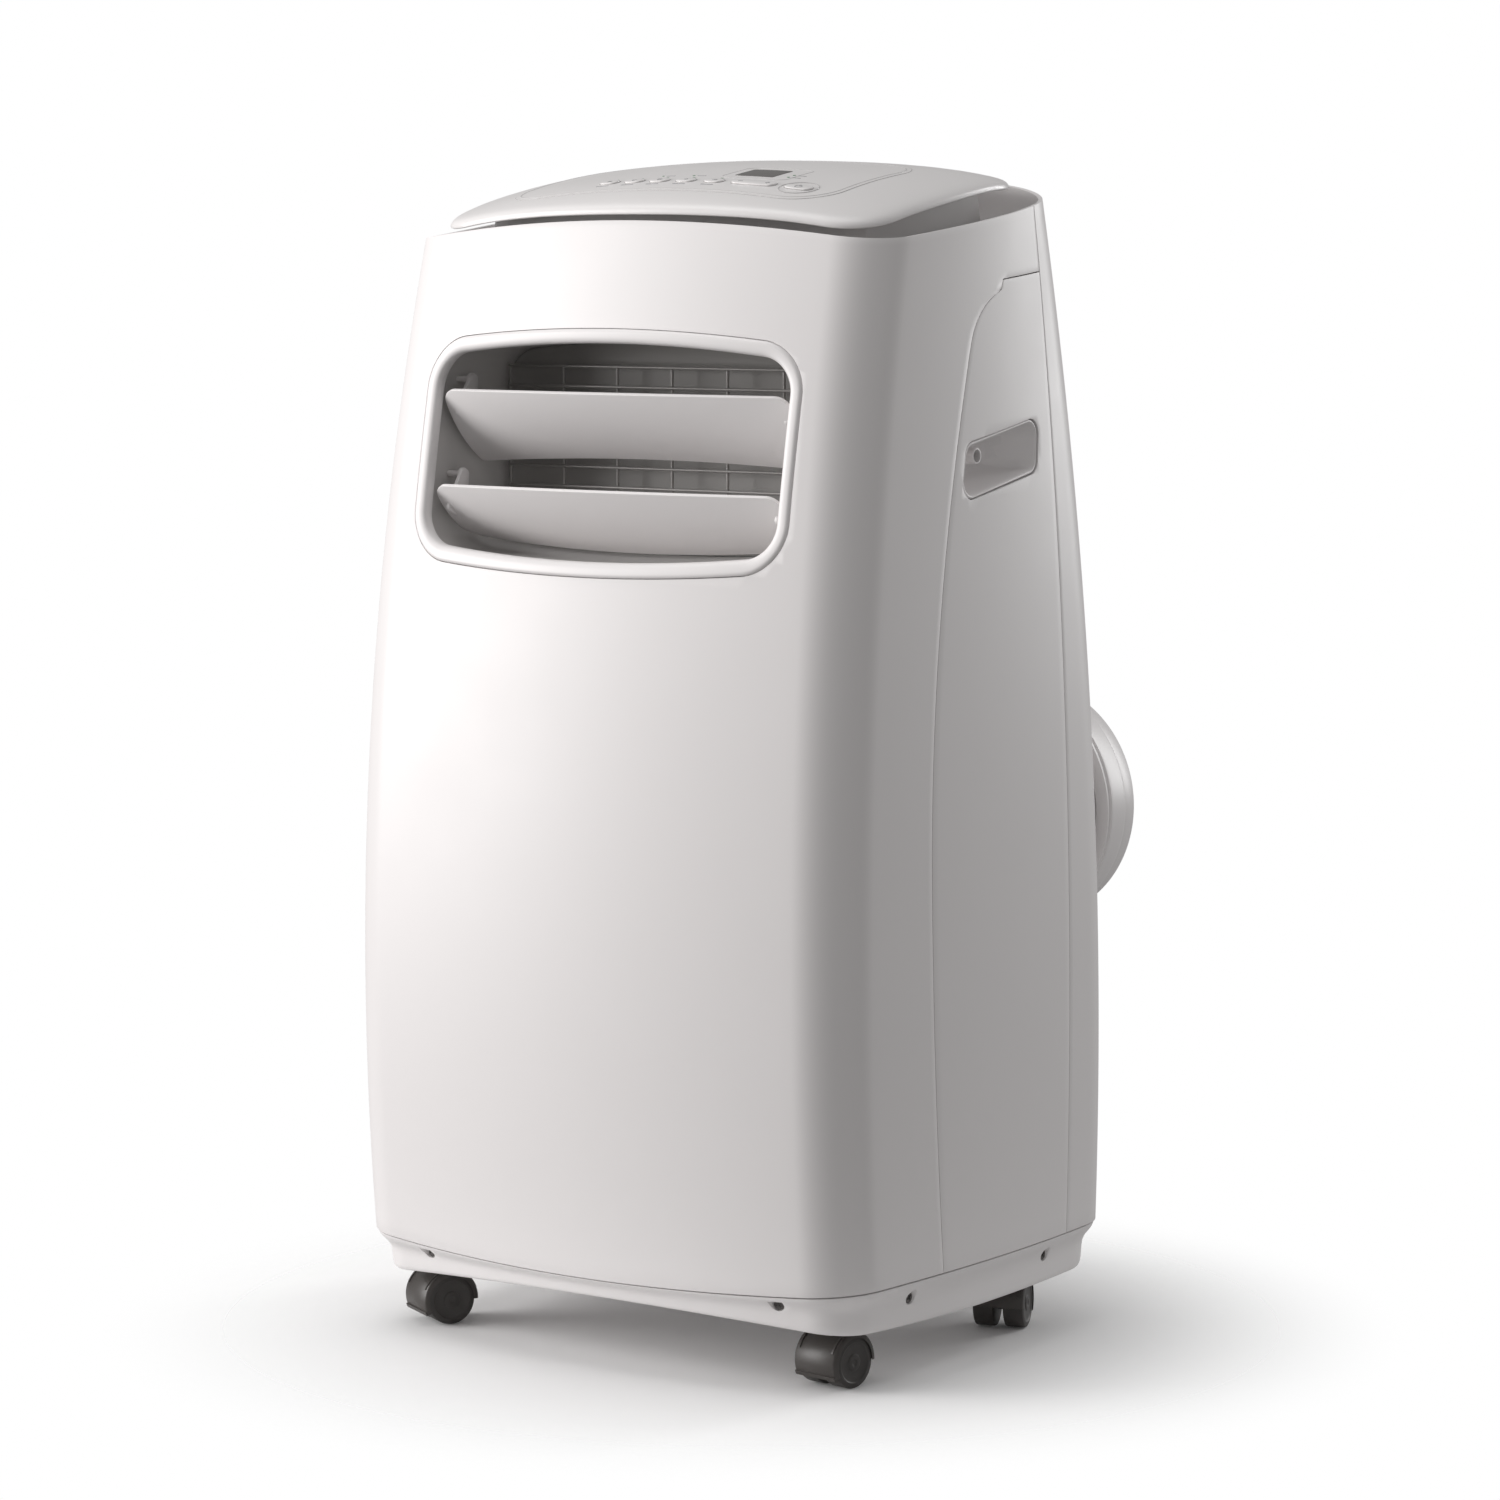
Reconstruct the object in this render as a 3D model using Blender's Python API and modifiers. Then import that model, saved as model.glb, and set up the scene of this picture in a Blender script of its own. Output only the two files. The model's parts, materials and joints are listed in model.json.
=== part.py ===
"""Portable air conditioner on swivel casters, built as an assembly of separate pieces.

Metres, +Z up, the front faces -Y. The cabinet is drawn about its own middle, and the empty named
cabinet_centre then moves everything forwards, so that the origin is under the middle of the whole
object with its hose adaptor.
"""

import math

import bmesh
import bpy
import numpy as np
from mathutils import Matrix, Vector

# Driving dimensions. A curve is (greatest value, fall-off per square metre, height of the greatest).
WIDTH_CURVE = (0.185, 0.046, 0.156)
FRONT_CURVE = (0.1625, 0.291, 0.233)
BACK_CURVE = (0.1645, 0.198, 0.152)
FRONT_CROWN = 0.0208
SIDE_CROWN = 0.0112
BACK_CROWN = 0.0071
FRONT_CORNER = 0.032
BACK_CORNER = 0.0435
WALL = 0.0025
GAP = 0.0003
PANEL_GAP = 0.0005
HEIGHT = 0.698
ADAPTOR_END = 0.205

SEAM_HEIGHT = 0.0612
SEAM_DIP = 0.0068
SKIRT_BOTTOM = 0.0326
SKIRT_ARCH = 0.0097
FLOOR_BOTTOM = 0.0435
RIM_HEIGHT = 0.6608
RIM_SLOPE = 0.1343
RIM_ARCH = 0.0157
DECK_DROP = 0.014
LID_CROWN_Y = 0.07
LID_FALL = 0.825
LID_SIDE_FALL = 0.46
LID_SIDE_TWIST = 1.7
LID_ROLL = 0.0045
LID_HALF = (0.160, 0.0945)
LID_MIDDLE_Y = -0.0055
LID_THICKNESS = 0.004
PEDESTAL_INSET = 0.034

SEAM_WAIST = (-0.060, 0.290)
SEAM_LEAN_HIGH = 0.53
SEAM_LEAN_LOW = 0.24
SEAM_ROUND = 0.030
WING_FOOT = 0.622
WING_SHARE = 0.938
REAR_SEAM = (0.092, 0.110, 0.180)

OUTLET = {
    "half_width": 0.1333,
    "low": 0.4665,
    "high": 0.5915,
    "radius": 0.027,
    "rise": 0.0088,
    "sag": 0.007,
}
BEZEL_WIDTH = 0.0085
BEZEL_DEPTH = 0.0055
DUCT_BACK = -0.050
DUCT_WALL = (0.0020, -0.0003)
GUARD_Y = -0.060
LOUVER_HALF = 0.1232
LOUVER_CORNER = 0.009
LOUVER_SHEET = 0.0024
BLADE_SHAPES = {
    "upper_louver": {"cut": 0.0, "arch": 0.004, "back_corner": 0.002},
    "lower_louver": {"cut": 0.0120, "arch": -0.0065, "back_corner": 0.016},
}
LOUVER_ARM = ((-0.020, -0.024), (0.004, -0.034), (0.0035, 0.0035), (-0.0045, 0.0035))
LOUVER_PIVOTS = {"upper_louver": (-0.096, 0.569), "lower_louver": (-0.105, 0.5135)}

HANDLE_CORNERS = ((-0.026, 0.5015), (0.0585, 0.5165), (0.0625, 0.5490), (-0.0195, 0.5355))
HANDLE_DEPTH = 0.024

WHEEL_RADIUS = 0.015
WHEEL_WIDTH = 0.0125
WHEEL_FACETS = 24
HOOD_RADIUS = 0.0176
HOOD_WIDTH = 0.032
CASTER_TRAIL = 0.013
STEM_FOOT = 0.0303
CASTERS = {
    "front_left": (-0.142, -0.082, 152),
    "front_right": (0.142, -0.082, 172),
    "rear_left": (-0.142, 0.077, 35),
    "rear_right": (0.142, 0.077, 20),
}

ADAPTOR_AT = (0.085, 0.305)
ADAPTOR_RADIUS = 0.075
KEY_ROW_Y = -0.057
KEYS = {
    "swing_key": (-0.046, 0.0062),
    "sleep_key": (-0.028, 0.0062),
    "timer_key": (-0.010, 0.0062),
    "fan_key": (0.009, 0.0062),
    "mode_key": (0.029, 0.0062),
    "level_key": (0.057, 0.0150),
    "power_key": (0.088, 0.0090),
}
KEY_DEPTH = 0.0042
KEY_FOOT = -0.0005

for old in list(bpy.data.objects):
    bpy.data.objects.remove(old, do_unlink=True)

parts = bpy.data.collections.new("portable_air_conditioner")
cutters = bpy.data.collections.new("cutters")
bpy.context.scene.collection.children.link(parts)
bpy.context.scene.collection.children.link(cutters)


def make_material(name, color, roughness, metallic=0.0):
    material = bpy.data.materials.new(name)
    material.use_nodes = True
    shader = material.node_tree.nodes["Principled BSDF"]
    shader.inputs["Base Color"].default_value = (*color, 1.0)
    shader.inputs["Roughness"].default_value = roughness
    shader.inputs["Metallic"].default_value = metallic
    material.diffuse_color = (*color, 1.0)
    return material


def add_object(name, mesh, material):
    """A node of the part, with its own copy of the material."""
    thing = bpy.data.objects.new(name, mesh)
    parts.objects.link(thing)
    own = material.copy()
    own.name = name + "_finish"
    mesh.materials.clear()
    mesh.materials.append(own)
    return thing


def add_helper(name, mesh):
    """A cutter, or a shape joined to a part: it is drawn as a wire and never rendered."""
    thing = bpy.data.objects.new(name, mesh)
    cutters.objects.link(thing)
    thing.hide_render = True
    thing.display_type = "WIRE"
    return thing


def mesh_of(build, name="shape"):
    """The mesh that a bmesh-filling function makes, with its normals outwards."""
    form = bmesh.new()
    build(form)
    bmesh.ops.recalc_face_normals(form, faces=form.faces)
    if form.calc_volume(signed=True) < 0:
        bmesh.ops.reverse_faces(form, faces=form.faces)
    mesh = bpy.data.meshes.new(name)
    form.to_mesh(mesh)
    form.free()
    return mesh


def smooth(thing, degrees=35):
    thing.data.shade_smooth()
    thing.data.set_sharp_from_angle(angle=math.radians(degrees))


def solidify(thing, thickness, offset=-1.0):
    modifier = thing.modifiers.new("wall", "SOLIDIFY")
    modifier.thickness = thickness
    modifier.offset = offset
    modifier.use_even_offset = True


def boolean(thing, other, operation="DIFFERENCE"):
    modifier = thing.modifiers.new(operation.lower(), "BOOLEAN")
    modifier.operation = operation
    modifier.solver = "EXACT"
    modifier.object = other


def bevel(thing, width, segments=2, degrees=40):
    modifier = thing.modifiers.new("edges", "BEVEL")
    modifier.width = width
    modifier.segments = segments
    modifier.limit_method = "ANGLE"
    modifier.angle_limit = math.radians(degrees)


# Shapes ------------------------------------------------------------------------------------------


def box_mesh(low, high):
    """A box between two corners."""
    low, high = Vector(low), Vector(high)
    place = Matrix.Translation((low + high) / 2) @ Matrix.Diagonal((*(high - low), 1.0))
    return mesh_of(lambda form: bmesh.ops.create_cube(form, size=1.0, matrix=place))


def cylinder_mesh(radius, low, high, axis="Z", segments=24, at=(0.0, 0.0)):
    """A cylinder from low to high along an axis, at the given place across it."""
    quarter_turn = math.pi / 2
    turn = {
        "Z": Matrix(),
        "Y": Matrix.Rotation(-quarter_turn, 4, "X"),
        "X": Matrix.Rotation(quarter_turn, 4, "Y"),
    }
    middle = (low + high) / 2
    place = {"Z": (at[0], at[1], middle), "Y": (at[0], middle, at[1]), "X": (middle, at[0], at[1])}
    matrix = Matrix.Translation(place[axis]) @ turn[axis]

    def build(form):
        bmesh.ops.create_cone(
            form, cap_ends=True, segments=segments, radius1=radius,
            radius2=radius, depth=high - low, matrix=matrix,
        )

    return mesh_of(build)


def turned(name, profile, material, axis="Y", steps=32, at=(0, 0, 0)):
    """A (radius, distance along the axis) profile turned with a Screw, down its outer side."""
    area = sum(a[0] * b[1] - b[0] * a[1] for a, b in zip(profile, [*profile[1:], profile[0]]))
    form = bmesh.new()
    points = [form.verts.new((radius, 0.0, along)) for radius, along in profile[:: -1 if area > 0 else 1]]
    for first, second in zip(points, points[1:]):
        form.edges.new((first, second))
    if profile[0][0] > 0:
        form.edges.new((points[-1], points[0]))
    mesh = bpy.data.meshes.new(name)
    form.to_mesh(mesh)
    form.free()
    thing = add_object(name, mesh, material)
    screw = thing.modifiers.new("turn", "SCREW")
    screw.axis = "Z"
    screw.steps = steps
    screw.render_steps = steps
    screw.use_merge_vertices = True
    screw.merge_threshold = 0.00005
    thing.location = at
    if axis == "Y":
        thing.rotation_euler = (-math.pi / 2, 0, 0)
    return thing


def loft_mesh(rings, cap=False, wrap=False):
    """Faces between closed rings of equal count: capped at both ends, or wrapped into a tube's tube."""

    def build(form):
        loops = [[form.verts.new(point) for point in ring] for ring in rings]
        pairs = list(zip(loops, loops[1:])) + ([(loops[-1], loops[0])] if wrap else [])
        for one, two in pairs:
            for k in range(len(one)):
                after = (k + 1) % len(one)
                form.faces.new((one[k], one[after], two[after], two[k]))
        if cap:
            form.faces.new(loops[0])
            form.faces.new(loops[-1])

    return mesh_of(build)


def prism_mesh(outline, low, high, axis="Y"):
    """A flat outline swept between two distances along an axis."""
    order = {"X": lambda a, b, c: (c, a, b), "Y": lambda a, b, c: (a, c, b), "Z": lambda a, b, c: (a, b, c)}
    place = order[axis]
    return loft_mesh([[place(a, b, along) for a, b in outline] for along in (low, high)], cap=True)


def rounded_outline(corners, radius, steps=5, edges=(1, 1, 1, 1)):
    """A four-sided outline with each corner replaced by an arc. edges are the pieces of each side."""
    outline = []
    count = len(corners)
    for k, corner in enumerate(corners):
        here = Vector(corner)
        back = (Vector(corners[k - 1]) - here).normalized()
        ahead = (Vector(corners[(k + 1) % count]) - here).normalized()
        half = back.angle(ahead) / 2
        centre = here + (back + ahead).normalized() * (radius / math.sin(half))
        first = here + back * (radius / math.tan(half)) - centre
        last = here + ahead * (radius / math.tan(half)) - centre
        for step in range(steps + 1):
            spoke = first.lerp(last, step / steps).normalized() * radius
            outline.append(tuple(centre + spoke))
    return split_sides(outline, steps + 1, edges)


def split_sides(outline, per_corner, edges):
    """The outline with the straight side after each corner cut into equal pieces."""
    split = []
    for k, count in enumerate(edges):
        split += outline[k * per_corner : (k + 1) * per_corner]
        start, end = Vector(split[-1]), Vector(outline[(k + 1) * per_corner % len(outline)])
        split += [tuple(start.lerp(end, step / count)) for step in range(1, count)]
    return split


def inset_corners(corners, inset):
    """The corners of a four-sided outline moved inwards, or outwards by a negative inset."""
    middle = sum((Vector(corner) for corner in corners), Vector((0, 0))) / 4
    return [
        (a - inset * math.copysign(1, a - middle.x), b - inset * math.copysign(1, b - middle.y))
        for a, b in corners
    ]


def pill_outline(half_length, half_width, at=(0.0, 0.0), steps=4):
    """A stadium's outline."""
    straight = half_length - half_width
    outline = []
    for side in (1, -1):
        for step in range(steps + 1):
            angle = -math.pi / 2 + math.pi * step / steps + (0 if side > 0 else math.pi)
            outline.append((
                at[0] + side * straight + half_width * math.cos(angle),
                at[1] + half_width * math.sin(angle),
            ))
    return outline


# The cabinet's skin ------------------------------------------------------------------------------


def fall(curve, z):
    return curve[0] - curve[1] * (z - curve[2]) ** 2


def quarter(width, depth, crown, side_crown, radius, count=16):
    """From the middle of the front to the middle of the side: crowned edges and a round corner."""
    x = inner = width - radius
    y = depth - radius
    for _ in range(12):
        y = depth - radius - crown * (x / width) ** 2
        x = inner - side_crown * (y / depth) ** 2
    across = np.linspace(0, x, count)
    edge = np.stack([across, depth - radius - crown * (across / width) ** 2], axis=1)
    normal = np.stack([2 * crown * across / width**2, np.ones(count)], axis=1)
    normal /= np.linalg.norm(normal, axis=1)[:, None]
    down = np.linspace(y, 0, count)
    side = np.stack([inner - side_crown * (down / depth) ** 2, down], axis=1)
    side_normal = np.stack([np.ones(count), 2 * side_crown * down / depth**2], axis=1)
    side_normal /= np.linalg.norm(side_normal, axis=1)[:, None]
    first, last = math.atan2(*normal[-1][::-1]), math.atan2(*side_normal[0][::-1])
    turn = np.linspace(first, last, count)
    arc = np.stack([x + radius * np.cos(turn), y + radius * np.sin(turn)], axis=1)
    return [edge + radius * normal, arc, side + radius * side_normal]


def seam_y(z):
    """Where the front panel meets the side panel. It sweeps back at the top, and rounds into the wing."""
    lean = SEAM_LEAN_HIGH if z > SEAM_WAIST[1] else SEAM_LEAN_LOW
    turned_in = min(0.98, max(0.0, (z - WING_FOOT + SEAM_ROUND) / SEAM_ROUND))
    return SEAM_WAIST[0] + lean * (z - SEAM_WAIST[1]) ** 2 + SEAM_ROUND * (1 - math.sqrt(1 - turned_in**2))


def half_outline(z, inset=0.0):
    """The right half of the plan section, from the front centre to the rear centre, and the distances
    along it to its stations: 0 front centre, 1 and 2 front corner, 3 side seam, 4 rear seam,
    5 and 6 rear corner, 7 rear centre."""
    width, front, back = (fall(curve, z) - inset for curve in (WIDTH_CURVE, FRONT_CURVE, BACK_CURVE))
    ahead = quarter(width, front, FRONT_CROWN, SIDE_CROWN, FRONT_CORNER - inset)
    behind = quarter(width, back, BACK_CROWN, SIDE_CROWN, BACK_CORNER - inset)
    ahead = [piece * (1, -1) for piece in ahead]
    behind = [piece[::-1] for piece in behind[::-1]]
    points = np.concatenate(ahead + behind)
    steps = np.linalg.norm(np.diff(points, axis=0), axis=1)
    along = np.concatenate([[0], np.cumsum(steps)])
    count = len(ahead[0])
    on_side = slice(2 * count, 4 * count)
    seam = np.interp([seam_y(z), fall(REAR_SEAM, z)], points[on_side, 1], along[on_side])
    corners = [along[piece * count - 1] for piece in (1, 2, 4, 5)]
    stations = [0, *corners[:2], *seam, *corners[2:], along[-1]]
    return points, along, stations


def skin_point(z, station, shift=0.0, inset=0.0):
    """The skin's (x, y) at a height, for a station on the right half, moved along the outline."""
    points, along, stations = half_outline(z, inset)
    place = np.interp(station, range(8), stations) + shift
    return np.interp(place, along, points[:, 0]), np.interp(place, along, points[:, 1])


def rim_height(x, y):
    return RIM_HEIGHT + RIM_SLOPE * y + RIM_ARCH * (1 - (x / fall(WIDTH_CURVE, RIM_HEIGHT)) ** 2)


def front_share(x, y):
    """1 at the middle of the front, and 0 at the sides and the back."""
    return (1 - (x / WIDTH_CURVE[0]) ** 2) * min(1.0, max(0.0, -y / 0.1))


def seam_height(x, y):
    return SEAM_HEIGHT - SEAM_DIP * front_share(x, y)


def front_y(x, z):
    """The skin of the front between its corners."""
    return -fall(FRONT_CURVE, z) + FRONT_CROWN * (x / fall(WIDTH_CURVE, z)) ** 2


def dome_height(x, y):
    """The lid's upper face: a crown that falls to the front and the sides, and rolls off at its edge."""
    edge = (x / LID_HALF[0]) ** 4 + ((y - LID_MIDDLE_Y) / LID_HALF[1]) ** 4
    to_side = (LID_SIDE_FALL - LID_SIDE_TWIST * y) * x**2
    return HEIGHT - LID_FALL * (y - LID_CROWN_Y) ** 2 - to_side - LID_ROLL * edge**1.5


def ring_at(height, inset, counts=(4, 4, 1, 2, 1, 4, 3)):
    """A closed ring of (x, y, z) round the cabinet. height is a number or a function of x and y."""
    stations = [k + step / count for k, count in enumerate(counts) for step in range(count)] + [7]
    level = height if callable(height) else lambda x, y: height
    right = []
    for station in stations:
        x, y = skin_point(0.33, station, inset=inset)
        for _ in range(3):
            z = level(x, y)
            x, y = skin_point(z, station, inset=inset)
        right.append((x, y, z))
    return right + [(-x, y, z) for x, y, z in right[-2:0:-1]]


def panel_mesh(columns, rows, side=0, facing=1):
    """An open sheet of the skin. A column is (station, shift along the outline), a row is (share of the
    height from the seam to the rim, lift). side 0 mirrors the columns about the middle. facing is -1
    where the columns run against the outline's way round."""
    grid = []
    for station, shift in columns:
        foot = skin_point(SEAM_HEIGHT, station, shift)
        head = skin_point(RIM_HEIGHT, station, shift)
        bottom, top = seam_height(*foot), rim_height(*head)
        line = []
        for share, lift in rows:
            z = bottom + (top - bottom) * share + lift
            line.append((*skin_point(z, station, shift), z))
        grid.append(line)
    if side == 0:
        grid = [[(-x, y, z) for x, y, z in line] for line in grid[:0:-1]] + grid
    form = bmesh.new()
    verts = [[form.verts.new(point) for point in line] for line in grid]
    for one, two in zip(verts, verts[1:]):
        for k in range(len(rows) - 1):
            corners = (one[k], two[k], two[k + 1], one[k + 1])
            form.faces.new(corners[::facing])
    mesh = bpy.data.meshes.new("panel")
    form.to_mesh(mesh)
    form.free()
    return mesh


def mirrored(mesh):
    """The left-hand copy of a right-hand mesh."""
    copy = mesh.copy()
    copy.transform(Matrix.Scale(-1, 4, (1, 0, 0)))
    copy.flip_normals()
    return copy


PANEL_ROWS = [(0.0, 0.0008)] + [(share, 0.0) for share in (0.15, 0.3, 0.45, 0.6, 0.74, 0.87)]
PANEL_ROWS += [(0.905, 0.0), (0.925, 0.0), (WING_SHARE, 0.0)]


def front_panel_mesh():
    """The front with its two round corners, and the wings that run back over the side panels."""
    columns = [(k + step / count, 0.0) for k, count in enumerate((5, 4, 1)) for step in range(count)]
    columns += [(3, -PANEL_GAP)] + [(3 + step / 4, 0.0) for step in range(1, 4)] + [(4, -PANEL_GAP)]
    rows = PANEL_ROWS + [(0.97, 0.0), (1.0, 0.0)]
    mesh = panel_mesh(columns, rows)
    wing_row = len(PANEL_ROWS) - 1
    form = bmesh.new()
    form.from_mesh(mesh)
    total, per_line = len(columns), len(rows)
    gone = []
    for face in form.faces:
        lines = {vert.index // per_line for vert in face.verts}
        levels = {vert.index % per_line for vert in face.verts}
        outer = min(lines) < 4 or max(lines) > 2 * (total - 1) - 4
        if outer and max(levels) <= wing_row:
            gone.append(face)
    bmesh.ops.delete(form, geom=gone, context="FACES")
    form.to_mesh(mesh)
    form.free()
    return mesh


# Materials ---------------------------------------------------------------------------------------

white = make_material("white_plastic", (0.80, 0.79, 0.785), 0.42)
lid_white = make_material("lid_plastic", (0.78, 0.77, 0.765), 0.34)
inner_white = make_material("inner_plastic", (0.62, 0.61, 0.60), 0.5)
grey = make_material("grey_plastic", (0.30, 0.30, 0.30), 0.5)
dark = make_material("dark_plastic", (0.045, 0.042, 0.038), 0.45)
display = make_material("display_lens", (0.10, 0.095, 0.09), 0.2)
steel = make_material("plated_steel", (0.55, 0.55, 0.56), 0.35, 1.0)
fins = make_material("coil_aluminium", (0.62, 0.64, 0.66), 0.4, 1.0)
copper = make_material("copper_pipe", (0.72, 0.38, 0.22), 0.3, 1.0)
painted = make_material("black_paint", (0.02, 0.02, 0.022), 0.4)
foam = make_material("filter_mesh", (0.12, 0.13, 0.14), 0.9)


# Base and casing ---------------------------------------------------------------------------------


def make_base():
    """A tray: floor, side wall, and a skirt that coves in below the panels."""

    def bottom(x, y):
        return SKIRT_BOTTOM + SKIRT_ARCH * front_share(x, y)

    def between(share, lift=0.0):
        return lambda x, y: bottom(x, y) + (seam_height(x, y) - bottom(x, y)) * share + lift

    rings = [
        ring_at(FLOOR_BOTTOM + 0.003, 0.0125),
        ring_at(between(1.0, 0.010), 0.0065),
        ring_at(between(1.0, 0.010), 0.0040),
        ring_at(between(1.0, 0.0), 0.0036),
        ring_at(between(1.0, -GAP), 0.0006),
        ring_at(between(0.90), 0.0016),
        ring_at(between(0.74), 0.0048),
        ring_at(between(0.55), 0.0070),
        ring_at(between(0.14), 0.0074),
        ring_at(between(0.0), 0.0090),
        ring_at(between(0.0), 0.0115),
        ring_at(FLOOR_BOTTOM, 0.0125),
    ]
    base = add_object("base_pan", loft_mesh(rings, cap=True), white)
    for name, (x, y, _) in CASTERS.items():
        stem_hole = cylinder_mesh(0.0054, 0.03, 0.07, at=(x, y), segments=16)
        boolean(base, add_helper(name + "_stem_hole", stem_hole))
    drain = cylinder_mesh(0.0088, 0.13, 0.19, axis="Y", segments=20, at=(-0.095, 0.0535))
    boolean(base, add_helper("drain_hole_base", drain))
    smooth(base)


def make_casing():
    front = add_object("front_panel", front_panel_mesh(), white)
    solidify(front, WALL)
    boolean(front, add_helper("outlet_hole", prism_mesh(outlet_outline(-0.0006), -0.25, -0.055)))

    rows = PANEL_ROWS[:-1] + [(WING_SHARE, -2 * PANEL_GAP)]
    columns = [(3, PANEL_GAP)] + [(3 + step / 4, 0.0) for step in range(1, 4)] + [(4, -PANEL_GAP)]
    side_mesh = panel_mesh(columns, rows, side=1)
    handle = rounded_outline(HANDLE_CORNERS, 0.009)
    for name, mesh, reach in (
        ("right_side_panel", side_mesh, (0.14, 0.21)),
        ("left_side_panel", mirrored(side_mesh), (-0.21, -0.14)),
    ):
        panel = add_object(name, mesh, white)
        solidify(panel, WALL)
        boolean(panel, add_helper(name + "_handle_hole", prism_mesh(handle, *reach, axis="X")))
        smooth(panel)

    columns = [(7 - step / 5, 0.0) for step in range(5)] + [(6 - step / 4, 0.0) for step in range(5)]
    rows = [(0.0, 0.0008)] + [(step / 8, 0.0) for step in range(1, 9)]
    rear = add_object("rear_panel", panel_mesh(columns + [(4, PANEL_GAP)], rows, facing=-1), white)
    solidify(rear, WALL)
    for name, cutter in (
        ("filter_opening", prism_mesh(rounded_outline(FILTER_CORNERS, 0.010), 0.06, 0.25)),
        ("grille_opening", prism_mesh(rounded_outline(GRILLE_CORNERS, 0.010), 0.06, 0.25)),
        ("adaptor_hole", cylinder_mesh(ADAPTOR_RADIUS - 0.004, 0.10, 0.25, "Y", 40, ADAPTOR_AT)),
        ("gland_hole", cylinder_mesh(0.0072, 0.10, 0.25, "Y", 16, GLAND_AT)),
        ("drain_hole_rear", cylinder_mesh(0.0088, 0.10, 0.25, "Y", 20, DRAIN_AT)),
    ):
        boolean(rear, add_helper(name, cutter))
    smooth(front)
    smooth(rear)


def make_top():
    """The deck inside the rim, the pedestal, and the domed lid that floats on it."""

    def deck_height(x, y):
        return RIM_HEIGHT - DECK_DROP + RIM_SLOPE * y

    edge = WALL + 2 * GAP
    rings = [
        ring_at(lambda x, y: deck_height(x, y) - 0.0025, edge),
        ring_at(deck_height, edge),
    ]
    smooth(add_object("top_deck", loft_mesh(rings, cap=True), inner_white))

    def under_lid(x, y):
        return dome_height(x, y) - LID_THICKNESS - 0.0012

    rings = [
        ring_at(lambda x, y: deck_height(x, y) + GAP, PEDESTAL_INSET),
        ring_at(under_lid, PEDESTAL_INSET),
        ring_at(under_lid, PEDESTAL_INSET + WALL),
        ring_at(lambda x, y: deck_height(x, y) + GAP, PEDESTAL_INSET + WALL),
    ]
    smooth(add_object("lid_pedestal", loft_mesh(rings, wrap=True), inner_white))

    outer = ring_at(RIM_HEIGHT, 0.0)
    wide = max(x for x, _, _ in outer)
    near, far = min(y for _, y, _ in outer), max(y for _, y, _ in outer)

    def lid_ring(share, drop):
        ring = [
            (x / wide * LID_HALF[0] * share,
             LID_MIDDLE_Y + (2 * (y - near) / (far - near) - 1) * LID_HALF[1] * share)
            for x, y, _ in outer
        ]
        return [(x, y, dome_height(x, y) - drop) for x, y in ring]

    rings = [lid_ring(share, 0.0) for share in (0.2, 0.5, 0.72, 0.88, 0.975)]
    rings += [lid_ring(0.994, 0.0012), lid_ring(1.0, 0.0030), lid_ring(0.990, 0.0048)]
    rings += [lid_ring(share, LID_THICKNESS) for share in (0.94, 0.75, 0.5, 0.2)]
    lid = add_object("control_lid", loft_mesh(rings, cap=True), lid_white)
    pocket = rounded_outline(inset_corners(OVERLAY_CORNERS, -GAP), 0.030, 3, OVERLAY_EDGES)
    boolean(lid, add_helper("overlay_pocket", dome_plate(pocket, OVERLAY_FLOOR, 0.010, OVERLAY_CENTRE)))
    smooth(lid)


# The controls ------------------------------------------------------------------------------------

OVERLAY_CORNERS = ((-0.115, -0.078), (0.115, -0.078), (0.115, 0.040), (-0.115, 0.040))
OVERLAY_CENTRE = (0.0, -0.019)
OVERLAY_EDGES = (6, 3, 6, 3)
OVERLAY_FLOOR = -0.0016
DISPLAY_CORNERS = ((0.031, -0.040), (0.058, -0.040), (0.058, -0.019), (0.031, -0.019))


def dome_plate(outline, low, high, centre):
    """A thin plate over the dome, between two heights above it."""
    rings = []
    levels = [(share, high) for share in (0.15, 0.4, 0.62, 0.82, 1.0)]
    for share, lift in levels + [(share, low) for share, _ in levels[::-1]]:
        middle = Vector(centre)
        ring = [middle.lerp(Vector(point), share) for point in outline]
        rings.append([(x, y, dome_height(x, y) + lift) for x, y in ring])
    return loft_mesh(rings, cap=True)


def key_frame(x, y):
    """A place on the dome, with Z along its outward normal."""
    step = 0.001
    slope_x = (dome_height(x + step, y) - dome_height(x - step, y)) / (2 * step)
    slope_y = (dome_height(x, y + step) - dome_height(x, y - step)) / (2 * step)
    normal = Vector((-slope_x, -slope_y, 1)).normalized()
    along = Vector((1, 0, slope_x)).normalized()
    turn = Matrix((along, normal.cross(along), normal)).transposed().to_4x4()
    return Matrix.Translation((x, y, dome_height(x, y))) @ turn


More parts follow.
